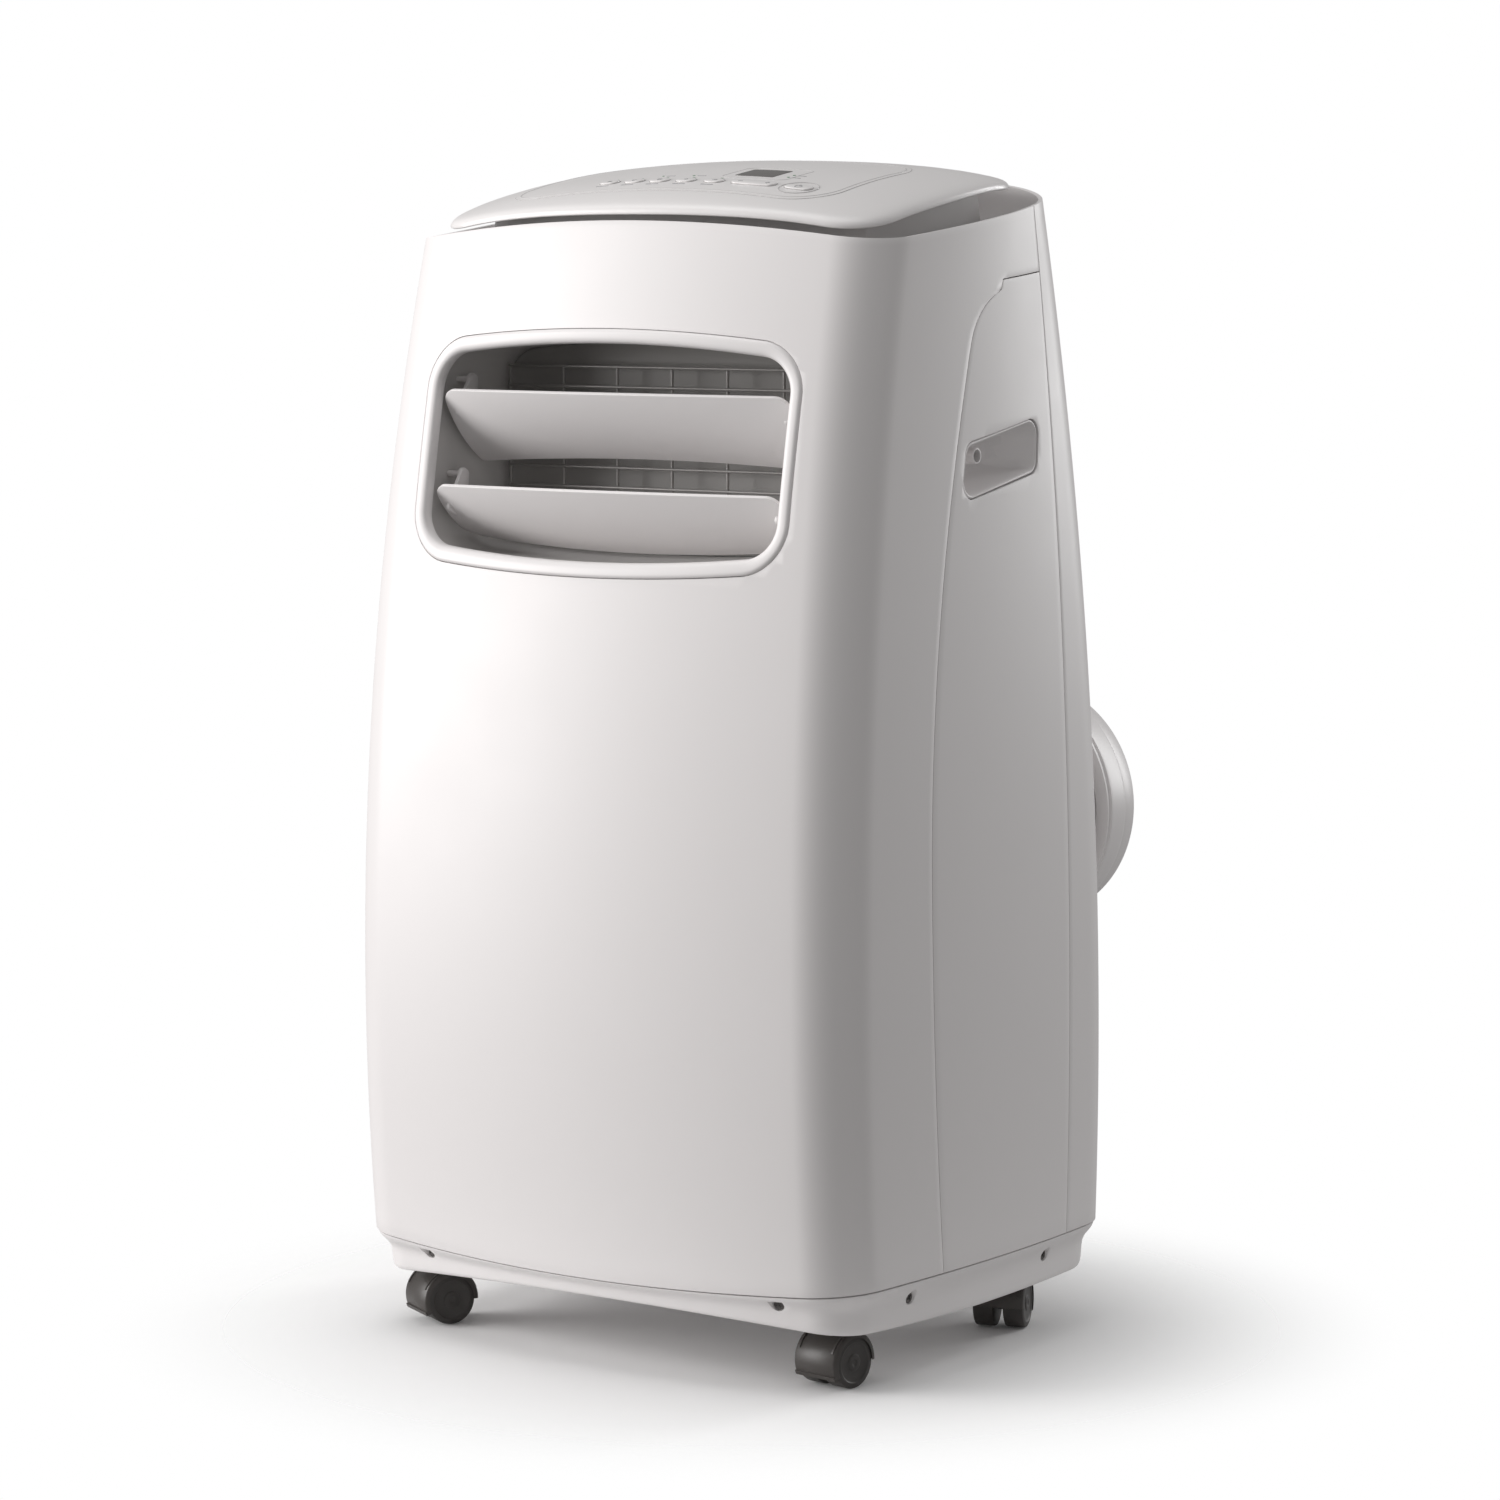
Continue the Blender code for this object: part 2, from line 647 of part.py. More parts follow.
def make_controls():
    outline = rounded_outline(OVERLAY_CORNERS, 0.030, 3, OVERLAY_EDGES)
    overlay_mesh = dome_plate(outline, OVERLAY_FLOOR + 2.5 * GAP, 0.0002, OVERLAY_CENTRE)
    overlay = add_object("control_overlay", overlay_mesh, lid_white)
    for name, (x, half_length) in KEYS.items():
        outline = pill_outline(half_length, KEY_DEPTH)
        key = add_object(name, prism_mesh(outline, KEY_FOOT, KEY_FOOT + 0.0014, axis="Z"), lid_white)
        key.matrix_world = key_frame(x, KEY_ROW_Y)
        wide = prism_mesh(pill_outline(half_length + 0.0004, KEY_DEPTH + 0.0004), -0.004, 0.006, axis="Z")
        hole = add_helper(name + "_hole", wide)
        hole.matrix_world = key_frame(x, KEY_ROW_Y)
        boolean(overlay, hole)
    centre = (0.0445, -0.0295)
    lens = dome_plate(rounded_outline(DISPLAY_CORNERS, 0.001, 2), OVERLAY_FLOOR + GAP, 0.0003, centre)
    add_object("display_window", lens, display)
    wide = rounded_outline(inset_corners(DISPLAY_CORNERS, -GAP), 0.001, 2)
    boolean(overlay, add_helper("display_hole", prism_mesh(wide, 0.6, 0.8, axis="Z")))


# The air outlet ----------------------------------------------------------------------------------


def outlet_outline(inset, per_edge=8, per_corner=5):
    """The outlet's rounded rectangle, whose top and bottom edges are arched."""
    half, radius = OUTLET["half_width"] - inset, OUTLET["radius"] - inset
    low, high = OUTLET["low"] + inset, OUTLET["high"] - inset
    middle = (low + high) / 2
    loop = []
    corners = ((half, low), (half, high), (-half, high), (-half, low))
    for k, (x, z) in enumerate(corners):
        centre = (x - math.copysign(radius, x), z - math.copysign(radius, z - middle))
        start = -math.pi / 2 + k * math.pi / 2
        for step in range(per_corner + 1):
            angle = start + math.pi / 2 * step / per_corner
            loop.append((centre[0] + radius * math.cos(angle), centre[1] + radius * math.sin(angle)))
        if k % 2:
            end = loop[-1]
            reach = -2 * centre[0]
            loop += [(end[0] + reach * step / per_edge, end[1]) for step in range(1, per_edge)]
    arched = []
    for x, z in loop:
        share = max(0.0, 1 - (x / half) ** 2)
        arched.append((x, z + OUTLET["rise"] * share if z > middle else z - OUTLET["sag"] * share))
    return arched


def make_outlet():
    """The bezel ring, the duct behind it and the wire guard in the duct."""

    def on_front(inset, back):
        return [(x, front_y(x, z) + back, z) for x, z in outlet_outline(inset)]

    rings = [
        on_front(0.0, BEZEL_DEPTH),
        on_front(0.0, 0.0),
        on_front(0.0018, -0.0016),
        on_front(BEZEL_WIDTH - 0.0022, 0.0004),
        on_front(BEZEL_WIDTH, 0.0020),
        on_front(BEZEL_WIDTH, BEZEL_DEPTH),
    ]
    smooth(add_object("outlet_bezel", loft_mesh(rings, wrap=True), white))

    def flat(inset, y):
        return [(x, y, z) for x, z in outlet_outline(inset)]

    front = BEZEL_DEPTH + GAP
    inner, outer = DUCT_WALL
    rings = [
        on_front(outer, front),
        flat(outer, DUCT_BACK),
        flat(inner, DUCT_BACK),
        on_front(inner, front),
    ]
    smooth(add_object("outlet_duct", loft_mesh(rings, wrap=True), grey))

    form = bmesh.new()
    across, up = 6, 8
    place = Matrix.Translation((0, GUARD_Y, 0.5292)) @ Matrix.Rotation(math.pi / 2, 4, "X")
    place @= Matrix.Diagonal((0.238, 0.0945, 1.0, 1.0))
    bmesh.ops.create_grid(form, x_segments=across, y_segments=up, size=0.5, matrix=place)
    mesh = bpy.data.meshes.new("guard")
    form.to_mesh(mesh)
    form.free()
    guard = add_object("wire_guard", mesh, steel)
    wires = guard.modifiers.new("wires", "WIREFRAME")
    wires.thickness = 0.0018
    wires.use_replace = True
    wires.use_boundary = True
    wires.use_even_offset = False


def corner_pull(radius, from_edge):
    """How far a round corner draws the side in, at a distance from the edge."""
    inside = max(0.0, radius - from_edge)
    return radius - math.sqrt(radius**2 - inside**2)


def louver_mesh(cut, arch, back_corner):
    """A curved blade about its pivot: its front edge stands up and out, its rear edge is low and deep."""
    front, back = Vector((-0.0310, -0.0055)), Vector((0.0160, -0.0480 + cut))
    chord = (front - back).length
    bulge = Vector((-(front - back).y, (front - back).x)).normalized() * 0.0045
    columns = 12
    grid = []
    for share in (0.0, 0.06, 0.2, 0.4, 0.6, 0.78, 0.88, 0.95, 1.0):
        middle = back.lerp(front, share) + bulge * (4 * share * (1 - share))
        pull = corner_pull(LOUVER_CORNER, chord * (1 - share)) + corner_pull(back_corner, chord * share)
        half = LOUVER_HALF - pull
        line = []
        for column in range(columns + 1):
            x = half * (2 * column / columns - 1)
            plan = 0.009 * (x / LOUVER_HALF) ** 2 * share
            lift = arch * (1 - (x / LOUVER_HALF) ** 2) * (1 - share)
            line.append((x, middle.x + plan, middle.y + lift))
        grid.append(line)
    form = bmesh.new()
    verts = [[form.verts.new(point) for point in line] for line in grid]
    for one, two in zip(verts, verts[1:]):
        for k in range(columns):
            form.faces.new((one[k], one[k + 1], two[k + 1], two[k]))
    mesh = bpy.data.meshes.new("louver")
    form.to_mesh(mesh)
    form.free()
    return mesh


def make_louvers():
    for name, (y, z) in LOUVER_PIVOTS.items():
        louver = add_object(name, louver_mesh(**BLADE_SHAPES[name]), white)
        solidify(louver, LOUVER_SHEET, offset=0.0)
        louver.location = (0, y, z)
        for side, label in ((1, "right"), (-1, "left")):
            inner, outer = sorted((side * 0.1165, side * 0.1187))
            arm_mesh = prism_mesh(rounded_outline(LOUVER_ARM, 0.002, 2), inner, outer, axis="X")
            low, high = sorted((side * 0.1170, side * 0.1298))
            for kind, mesh in (("arm", arm_mesh), ("pin", cylinder_mesh(0.0022, low, high, "X", 12))):
                helper = add_helper(f"{name}_{label}_{kind}", mesh)
                helper.parent = louver
                boolean(louver, helper, "UNION")
        smooth(louver)

    motor = cylinder_mesh(0.011, 0.1345, 0.149, "X", 20, LOUVER_PIVOTS["upper_louver"])
    add_object("louver_motor", motor, steel)


# Handles, rear fittings --------------------------------------------------------------------------

FILTER_CORNERS = ((-0.128, 0.405), (0.128, 0.405), (0.122, 0.632), (-0.122, 0.632))
GRILLE_CORNERS = ((-0.135, 0.085), (0.135, 0.085), (0.135, 0.205), (-0.135, 0.205))
GLAND_AT = (-0.120, 0.250)
DRAIN_AT = (-0.095, 0.300)


def back_y(x, z):
    """The skin of the back between its corners."""
    return fall(BACK_CURVE, z) - BACK_CROWN * (x / fall(WIDTH_CURVE, z)) ** 2


def make_handles():
    """A moulded cup behind the hole in each side panel."""
    outline = HANDLE_CORNERS

    def ring(inset, x):
        radius = 0.009 - min(inset, 0.004)
        return [(x, y, z) for y, z in rounded_outline(inset_corners(outline, inset), radius, 4)]

    face = fall(WIDTH_CURVE, 0.525) - WALL - SIDE_CROWN * 0.28 - 0.0012
    inside = face - HANDLE_DEPTH
    rings = [
        ring(-0.006, face),
        ring(0.0006, face),
        ring(0.0040, inside + 0.004),
        ring(0.0080, inside),
        ring(0.0080, inside - 0.002),
        ring(0.0018, inside - 0.001),
        ring(-0.0016, face - 0.002),
        ring(-0.006, face - 0.002),
    ]
    closed = loft_mesh(rings[4:] + rings[:4], cap=True)
    smooth(add_object("right_handle_cup", closed, white))
    smooth(add_object("left_handle_cup", mirrored(closed), white))


def slotted_cover(name, corners, slot_count, material):
    """A cover flush with the back's skin, with two stacks of level slots."""
    low, high = corners[0][1], corners[2][1]
    half = max(abs(x) for x, _ in corners)
    form = bmesh.new()
    verts = []
    for level in range(6):
        z = low + (high - low) * level / 5
        across = [half * (k / 4 - 1) for k in range(9)]
        verts.append([form.verts.new((x, back_y(x, z), z)) for x in across])
    for one, two in zip(verts, verts[1:]):
        for k in range(8):
            form.faces.new((one[k + 1], one[k], two[k], two[k + 1]))
    mesh = bpy.data.meshes.new(name)
    form.to_mesh(mesh)
    form.free()
    cover = add_object(name, mesh, material)
    solidify(cover, 0.002)
    outline = prism_mesh(rounded_outline(inset_corners(corners, 2 * GAP), 0.010), 0.05, 0.25)
    boolean(cover, add_helper(name + "_outline", outline), "INTERSECT")
    slots = mesh_of(lambda form: slot_stack(form, low, high, half, slot_count))
    boolean(cover, add_helper(name + "_slots", slots))
    smooth(cover)


def slot_stack(form, low, high, half, count):
    """Two columns of level slots."""
    pitch = (high - low - 0.024) / count
    for side in (-1, 1):
        for k in range(count):
            z = low + 0.012 + pitch * (k + 0.5)
            place = Matrix.Translation((side * half * 0.47, 0.15, z))
            place @= Matrix.Diagonal((half * 0.86, 0.2, pitch * 0.5, 1))
            bmesh.ops.create_cube(form, size=1.0, matrix=place)


def make_rear_fittings():
    slotted_cover("intake_cover", FILTER_CORNERS, 7, white)
    low, high = FILTER_CORNERS[0][1] + 0.006, FILTER_CORNERS[2][1] - 0.006
    sheet = box_mesh((-0.112, 0.0945, low), (0.112, 0.0965, high))
    add_object("air_filter", sheet, foam)
    slotted_cover("lower_grille", GRILLE_CORNERS, 4, white)

    x, z = ADAPTOR_AT
    skin = back_y(x, z)
    radius = ADAPTOR_RADIUS
    outside, inside = radius - 0.0044, radius - 0.0072
    profile = [(outside, -0.030), (outside, 0.012), (inside, 0.012), (inside, -0.030)]
    smooth(turned("exhaust_collar", profile, inner_white, steps=32, at=(x, skin, z)))
    end = ADAPTOR_END - skin
    profile = [
        (radius + 0.004, 0.0046),
        (radius + 0.004, 0.0070),
        (radius + 0.001, 0.0078),
        (radius, end - 0.014),
        (radius - 0.002, end - 0.012),
        (radius - 0.002, end),
        (radius - 0.0040, end),
        (radius - 0.0040, 0.0046),
    ]
    smooth(turned("exhaust_adaptor", profile, white, steps=32, at=(x, skin, z)))

    x, z = DRAIN_AT
    skin = back_y(x, z)
    profile = [
        (0.0, 0.0065), (0.0095, 0.0060), (0.0105, 0.0035), (0.0105, 0.0014),
        (0.0082, 0.0014), (0.0082, -0.012), (0.0, -0.012),
    ]
    smooth(turned("drain_plug", profile, grey, steps=20, at=(x, skin, z)))
    x, z = GLAND_AT
    skin = back_y(x, z)
    profile = [
        (0.0045, 0.010), (0.0062, 0.009), (0.0080, 0.0034), (0.0095, 0.0030), (0.0095, 0.0012),
        (0.0068, 0.0012), (0.0068, -0.008), (0.0045, -0.008),
    ]
    smooth(turned("cord_gland", profile, dark, steps=16, at=(x, skin, z)))


# Casters -----------------------------------------------------------------------------------------


def hood_profile(radius, start, end, steps):
    return [
        (radius * math.cos(math.radians(start + (end - start) * k / steps)),
         radius * math.sin(math.radians(start + (end - start) * k / steps)))
        for k in range(steps + 1)
    ]


def make_caster(place, x, y, heading):
    """A hooded twin-wheel caster. Its own frame has the swivel on Z, and the wheels behind it at +Y."""
    pivot = bpy.data.objects.new(place + "_pivot", None)
    cutters.objects.link(pivot)
    pivot.location = (x, y, 0)
    pivot.rotation_euler = (0, 0, math.radians(heading))
    centre = (CASTER_TRAIL, WHEEL_RADIUS)

    arc = hood_profile(HOOD_RADIUS, -28, 182, 14)
    inner = hood_profile(HOOD_RADIUS - 0.0016, -28, 182, 14)[::-1]
    shell = [(centre[0] + a, centre[1] + b) for a, b in arc + inner]
    hood = add_object(place + "_hood", prism_mesh(shell, -HOOD_WIDTH / 2, HOOD_WIDTH / 2, axis="X"), dark)
    web = hood_profile(HOOD_RADIUS - 0.0008, -24, 178, 12)
    web = [(centre[0] + a, centre[1] + b) for a, b in web]
    for label, mesh in (
        ("web", prism_mesh(web, -0.0022, 0.0022, axis="X")),
        ("hub", cylinder_mesh(0.0050, -0.0022, 0.0022, "X", 16, centre)),
        ("stem", cylinder_mesh(0.0050, STEM_FOOT, 0.058, segments=16)),
    ):
        helper = add_helper(f"{place}_{label}", mesh)
        helper.parent = pivot
        boolean(hood, helper, "UNION")
    cut = cylinder_mesh(0.0018 + GAP, -0.02, 0.02, "X", 12, centre)
    cutter = add_helper(place + "_axle_hole", cut)
    cutter.parent = pivot
    boolean(hood, cutter)
    hood.parent = pivot

    axle = add_object(place + "_axle", cylinder_mesh(0.0018, -0.0145, 0.0145, "X", 12), steel)
    axle.location = (0, *centre)
    axle.parent = pivot
    half_step = math.pi / WHEEL_FACETS
    for side, label in ((1, "outer"), (-1, "inner")):
        low, high = sorted((side * 0.0030, side * (0.0030 + WHEEL_WIDTH)))
        radius = WHEEL_RADIUS / math.cos(half_step)
        disc = cylinder_mesh(radius, low, high, "X", WHEEL_FACETS)
        wheel = add_object(f"{place}_{label}_wheel", disc, dark)
        wheel.data.transform(Matrix.Rotation(half_step, 4, "X"))
        hole = cylinder_mesh(0.0018 + 0.0001, -0.0147, 0.0147, "X", 12)
        bore = add_helper(f"{place}_{label}_bore", hole)
        wheel.location = (0, *centre)
        bore.location = wheel.location
        wheel.parent = pivot
        bore.parent = pivot
        boolean(wheel, bore)
        smooth(wheel, 40)
    smooth(hood, 40)


# What is inside ----------------------------------------------------------------------------------


def fan_mesh(inner, outer, depth, blades, thickness=0.0022):
    """A radial blower wheel: a hub with straight blades, about the Y axis."""
    outline = []
    for blade in range(blades):
        angle = 2 * math.pi * blade / blades
        near, far = thickness / inner / 2, thickness / outer / 2
        for radius, offset in ((inner, -near), (outer, 0.16 - far), (outer, 0.16 + far), (inner, near)):
            outline.append((radius * math.cos(angle + offset), radius * math.sin(angle + offset)))
    return prism_mesh(outline, -depth / 2, depth / 2, axis="Y")


def make_fan(name, at, outer, depth, material):
    fan = add_object(name, fan_mesh(0.030, outer, depth, 18), material)
    fan.location = at
    bore = add_helper(name + "_bore", cylinder_mesh(0.0042, -0.1, 0.1, "Y", 16))
    bore.parent = fan
    boolean(fan, bore)
    radius, half = outer + 0.010, depth / 2
    profile = [
        (radius, -half - 0.008),
        (radius, half + 0.006),
        (radius - 0.020, half + 0.006),
        (radius - 0.020, half + 0.004),
        (radius - 0.002, half + 0.004),
        (radius - 0.002, -half - 0.006),
        (0.012, -half - 0.006),
        (0.012, -half - 0.008),
    ]
    smooth(turned(name + "_housing", profile, inner_white, steps=24, at=at))
    motor_profile = [
        (0.0, half),
        (0.0040, half),
        (0.0040, -half - 0.010),
        (0.028, -half - 0.010),
        (0.030, -half - 0.012),
        (0.030, -half - 0.036),
        (0.026, -half - 0.040),
        (0.0, -half - 0.040),
    ]
    smooth(turned(name + "_motor", motor_profile, steel, steps=20, at=at))


def make_coil(name, low, high):
    """A finned coil: a block with a few deep grooves between its tube rows."""
    coil = add_object(name, box_mesh(low, high), fins)
    grooves = 5
    pitch = (high[2] - low[2]) / grooves

    def build(form):
        for k in range(1, grooves):
            z = low[2] + pitch * k
            place = Matrix.Translation(((low[0] + high[0]) / 2, high[1], z))
            place @= Matrix.Diagonal((high[0] - low[0] - 0.010, 0.012, 0.004, 1))
            bmesh.ops.create_cube(form, size=1.0, matrix=place)

    boolean(coil, add_helper(name + "_grooves", mesh_of(build)))


def make_inside():
    tray = [ring_at(height, 0.0060, (3, 3, 1, 2, 1, 3, 3)) for height in (0.3795, 0.3830)]
    add_object("partition_tray", loft_mesh(tray, cap=True), inner_white)
    make_coil("evaporator", (-0.112, 0.066, 0.395), (0.112, 0.090, 0.612))
    make_coil("condenser", (-0.125, 0.118, 0.082), (0.125, 0.142, 0.208))
    make_fan("evaporator_fan", (0.0, 0.022, 0.505), 0.082, 0.046, grey)
    make_fan("condenser_fan", (0.060, 0.060, 0.290), 0.058, 0.046, grey)
    profile = [
        (0.0, 0.075), (0.030, 0.072), (0.048, 0.058), (0.052, 0.044), (0.055, 0.040), (0.055, -0.040),
        (0.052, -0.058), (0.040, -0.068), (0.0, -0.070),
    ]
    compressor = turned("compressor", profile, painted, axis="Z", steps=28, at=(-0.060, -0.035, 0.130))
    smooth(compressor)
    add_object("control_box", box_mesh((0.040, -0.120, 0.240), (0.150, -0.085, 0.350)), grey)
    bevel(bpy.data.objects["control_box"], 0.003)

    route = [
        (-0.060, -0.035, 0.2058),
        (-0.060, -0.035, 0.225),
        (-0.075, -0.020, 0.240),
        (-0.125, 0.030, 0.240),
        (-0.135, 0.080, 0.225),
        (-0.135, 0.112, 0.205),
        (-0.135, 0.120, 0.190),
    ]
    curve = bpy.data.curves.new("refrigerant_pipe", "CURVE")
    curve.dimensions = "3D"
    curve.bevel_depth = 0.004
    curve.bevel_resolution = 2
    curve.use_fill_caps = True
    spline = curve.splines.new("POLY")
    spline.points.add(len(route) - 1)
    for point, place in zip(spline.points, route):
        point.co = (*place, 1.0)
    pipe = bpy.data.objects.new("refrigerant_pipe", curve)
    parts.objects.link(pipe)
    curve.materials.append(copper)


make_base()
make_casing()
make_top()
make_controls()
make_outlet()
make_louvers()
make_handles()
make_rear_fittings()
for caster_place, (caster_x, caster_y, caster_heading) in CASTERS.items():
    make_caster(caster_place, caster_x, caster_y, caster_heading)
make_inside()

# The whole cabinet moves forwards, because the adaptor stands out behind it.
centre = bpy.data.objects.new("cabinet_centre", None)
cutters.objects.link(centre)
centre.location = (0, -(ADAPTOR_END - FRONT_CURVE[0]) / 2, 0)
for thing in list(parts.objects) + list(cutters.objects):
    if thing.parent is None and thing is not centre:
        thing.parent = centre
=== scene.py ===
import json
import math

import bpy
import numpy as np
from mathutils import Matrix, Vector

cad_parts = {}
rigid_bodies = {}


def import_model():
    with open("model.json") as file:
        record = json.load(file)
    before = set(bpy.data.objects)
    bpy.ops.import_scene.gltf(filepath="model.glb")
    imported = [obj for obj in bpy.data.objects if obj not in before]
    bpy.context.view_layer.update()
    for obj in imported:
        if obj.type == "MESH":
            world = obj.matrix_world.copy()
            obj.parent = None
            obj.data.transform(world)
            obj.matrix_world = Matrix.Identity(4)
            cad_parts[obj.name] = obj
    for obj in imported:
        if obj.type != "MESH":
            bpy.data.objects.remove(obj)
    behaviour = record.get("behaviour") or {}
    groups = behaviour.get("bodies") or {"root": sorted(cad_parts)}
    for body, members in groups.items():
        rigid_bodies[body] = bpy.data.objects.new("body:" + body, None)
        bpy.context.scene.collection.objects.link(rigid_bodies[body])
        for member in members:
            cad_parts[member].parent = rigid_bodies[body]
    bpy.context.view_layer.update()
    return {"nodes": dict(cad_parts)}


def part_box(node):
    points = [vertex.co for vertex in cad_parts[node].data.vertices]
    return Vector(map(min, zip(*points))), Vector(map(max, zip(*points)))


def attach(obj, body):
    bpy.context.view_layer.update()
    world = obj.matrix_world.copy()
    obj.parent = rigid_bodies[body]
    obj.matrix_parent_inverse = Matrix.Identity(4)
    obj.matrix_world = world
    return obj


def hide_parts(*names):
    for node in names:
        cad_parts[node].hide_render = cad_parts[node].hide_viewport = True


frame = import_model()
nodes = frame["nodes"]
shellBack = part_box("front_panel")[0].y + 0.1625  # how far the cabinet sits forward of its own plan
for extra in [thing for thing in bpy.data.objects if thing.name in ("Cube", "Light", "Camera")]:
    bpy.data.objects.remove(extra)
print("frame loaded:", len(nodes), "nodes")


# small tools, each one a few clicks


def pickOnly(piece):
    if bpy.context.mode != "OBJECT":
        bpy.ops.object.mode_set(mode="OBJECT")
    bpy.ops.object.select_all(action="DESELECT")
    piece.select_set(True)
    bpy.context.view_layer.objects.active = piece


def settle(piece, name):
    # the finished mesh keeps its place, and the object goes back to the origin
    pickOnly(piece)
    bpy.ops.object.transform_apply(location=True, rotation=True, scale=True)
    piece.name = name
    piece.data.name = name
    return piece


def applyModifier(piece, kind, **values):
    modifier = piece.modifiers.new(kind.lower(), kind)
    for key, value in values.items():
        setattr(modifier, key, value)
    pickOnly(piece)
    bpy.ops.object.modifier_apply(modifier=modifier.name)
    return piece


def giveWall(piece, thickness, offset=-1.0):
    return applyModifier(piece, "SOLIDIFY", thickness=thickness, offset=offset)


def roundOff(piece, width, segments=3, degrees=40):
    return applyModifier(piece, "BEVEL", width=width, segments=segments, limit_method="ANGLE",
                         angle_limit=math.radians(degrees), harden_normals=False)


def cutWith(piece, cutter, operation="DIFFERENCE"):
    applyModifier(piece, "BOOLEAN", operation=operation, solver="EXACT", object=cutter)
    bpy.data.objects.remove(cutter)
    return piece


def smoothOver(piece, degrees=38):
    pickOnly(piece)
    bpy.ops.object.shade_smooth_by_angle(angle=math.radians(degrees))
    return piece


def faceOut(piece):
    pickOnly(piece)
    bpy.ops.object.mode_set(mode="EDIT")
    bpy.ops.mesh.select_all(action="SELECT")
    bpy.ops.mesh.remove_doubles(threshold=0.00001)
    bpy.ops.mesh.normals_make_consistent(inside=False)
    bpy.ops.object.mode_set(mode="OBJECT")
    return piece


def joinAll(pieces, name):
    pickOnly(pieces[0])
    for piece in pieces[1:]:
        piece.select_set(True)
    bpy.ops.object.join()
    return settle(bpy.context.object, name)


def keepPiece(piece, body, slot, finish, *replaced):
    piece.data.materials.clear()
    piece.data.materials.append(finish)
    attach(piece, body)
    if replaced:
        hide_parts(*replaced)
    return piece


def block(low, high, soften=0.0, segments=3):
    low, high = Vector(low), Vector(high)
    bpy.ops.mesh.primitive_cube_add(size=1, location=(low + high) / 2)
    piece = bpy.context.object
    piece.scale = high - low
    settle(piece, "block")
    if soften:
        roundOff(piece, soften, segments)
    return piece


def drum(radius, low, high, at, direction="Z", sides=48, soften=0.0, tip=None):
    # a cylinder or cone from low to high along one axis
    turn = {"Z": (0, 0, 0), "Y": (-math.pi / 2, 0, 0), "X": (0, math.pi / 2, 0)}[direction]
    middle = (low + high) / 2
    place = {"Z": (at[0], at[1], middle), "Y": (at[0], middle, at[1]), "X": (middle, at[0], at[1])}
    bpy.ops.mesh.primitive_cone_add(vertices=sides, radius1=radius, radius2=radius if tip is None else tip,
                                    depth=high - low, location=place[direction], rotation=turn)
    piece = settle(bpy.context.object, "drum")
    if soften:
        roundOff(piece, soften, 3)
    return piece


def patch(name, across, up, placeAt):
    # a grid whose points go where placeAt puts them: across and up are lists of values
    bpy.ops.mesh.primitive_grid_add(x_subdivisions=len(across) - 1, y_subdivisions=len(up) - 1, size=2)
    piece = bpy.context.object
    piece.name = name
    for point in piece.data.vertices:
        column = round((point.co.x + 1) / 2 * (len(across) - 1))
        row = round((point.co.y + 1) / 2 * (len(up) - 1))
        point.co = placeAt(across[column], up[row])
    return piece


def turned(name, profile, at, direction="Y", sides=96):
    # a profile of (radius, distance) turned about an axis through at
    def placeAt(angle, row):
        radius, along = profile[row]
        side, rise = radius * math.cos(angle), radius * math.sin(angle)
        spots = {"Y": (side, along, rise), "X": (along, side, rise), "Z": (side, rise, along)}
        return Vector(at) + Vector(spots[direction])

    piece = patch(name, [2 * math.pi * k / sides for k in range(sides + 1)], range(len(profile)), placeAt)
    return faceOut(piece)


def spread(low, high, count):
    return [low + (high - low) * k / count for k in range(count + 1)]


def roundCorners(corners, radius, steps=12):
    outline = []
    for k, corner in enumerate(corners):
        here = Vector(corner)
        back = (Vector(corners[k - 1]) - here).normalized()
        ahead = (Vector(corners[(k + 1) % len(corners)]) - here).normalized()
        half = back.angle(ahead) / 2
        centre = here + (back + ahead).normalized() * (radius / math.sin(half))
        first = here + back * (radius / math.tan(half)) - centre
        last = here + ahead * (radius / math.tan(half)) - centre
        for step in range(steps + 1):
            outline.append(tuple(centre + first.lerp(last, step / steps).normalized() * radius))
    return outline


def moveCorners(corners, inset):
    middle = sum((Vector(corner) for corner in corners), Vector((0, 0))) / len(corners)
    return [(a - math.copysign(inset, a - middle.x) if inset > 0 else a + math.copysign(-inset, a - middle.x),
             b - math.copysign(inset, b - middle.y) if inset > 0 else b + math.copysign(-inset, b - middle.y))
            for a, b in corners]


def pickAxis(direction, a, b, along):
    return {"X": (along, a, b), "Y": (a, along, b), "Z": (a, b, along)}[direction]


def slab(outline, low, high, direction="Y"):
    # a flat outline given a depth: a filled circle whose points are moved, then extruded
    bpy.ops.mesh.primitive_circle_add(vertices=len(outline), fill_type="NGON")
    piece = bpy.context.object
    for point, (a, b) in zip(piece.data.vertices, outline):
        point.co = pickAxis(direction, a, b, low)
    reach = Vector(pickAxis(direction, 0, 0, high - low))
    bpy.ops.object.mode_set(mode="EDIT")
    bpy.ops.mesh.select_all(action="SELECT")
    bpy.ops.mesh.extrude_region_move(TRANSFORM_OT_translate={"value": reach})
    bpy.ops.mesh.select_all(action="SELECT")
    bpy.ops.mesh.normals_make_consistent(inside=False)
    bpy.ops.object.mode_set(mode="OBJECT")
    return piece


# finishes


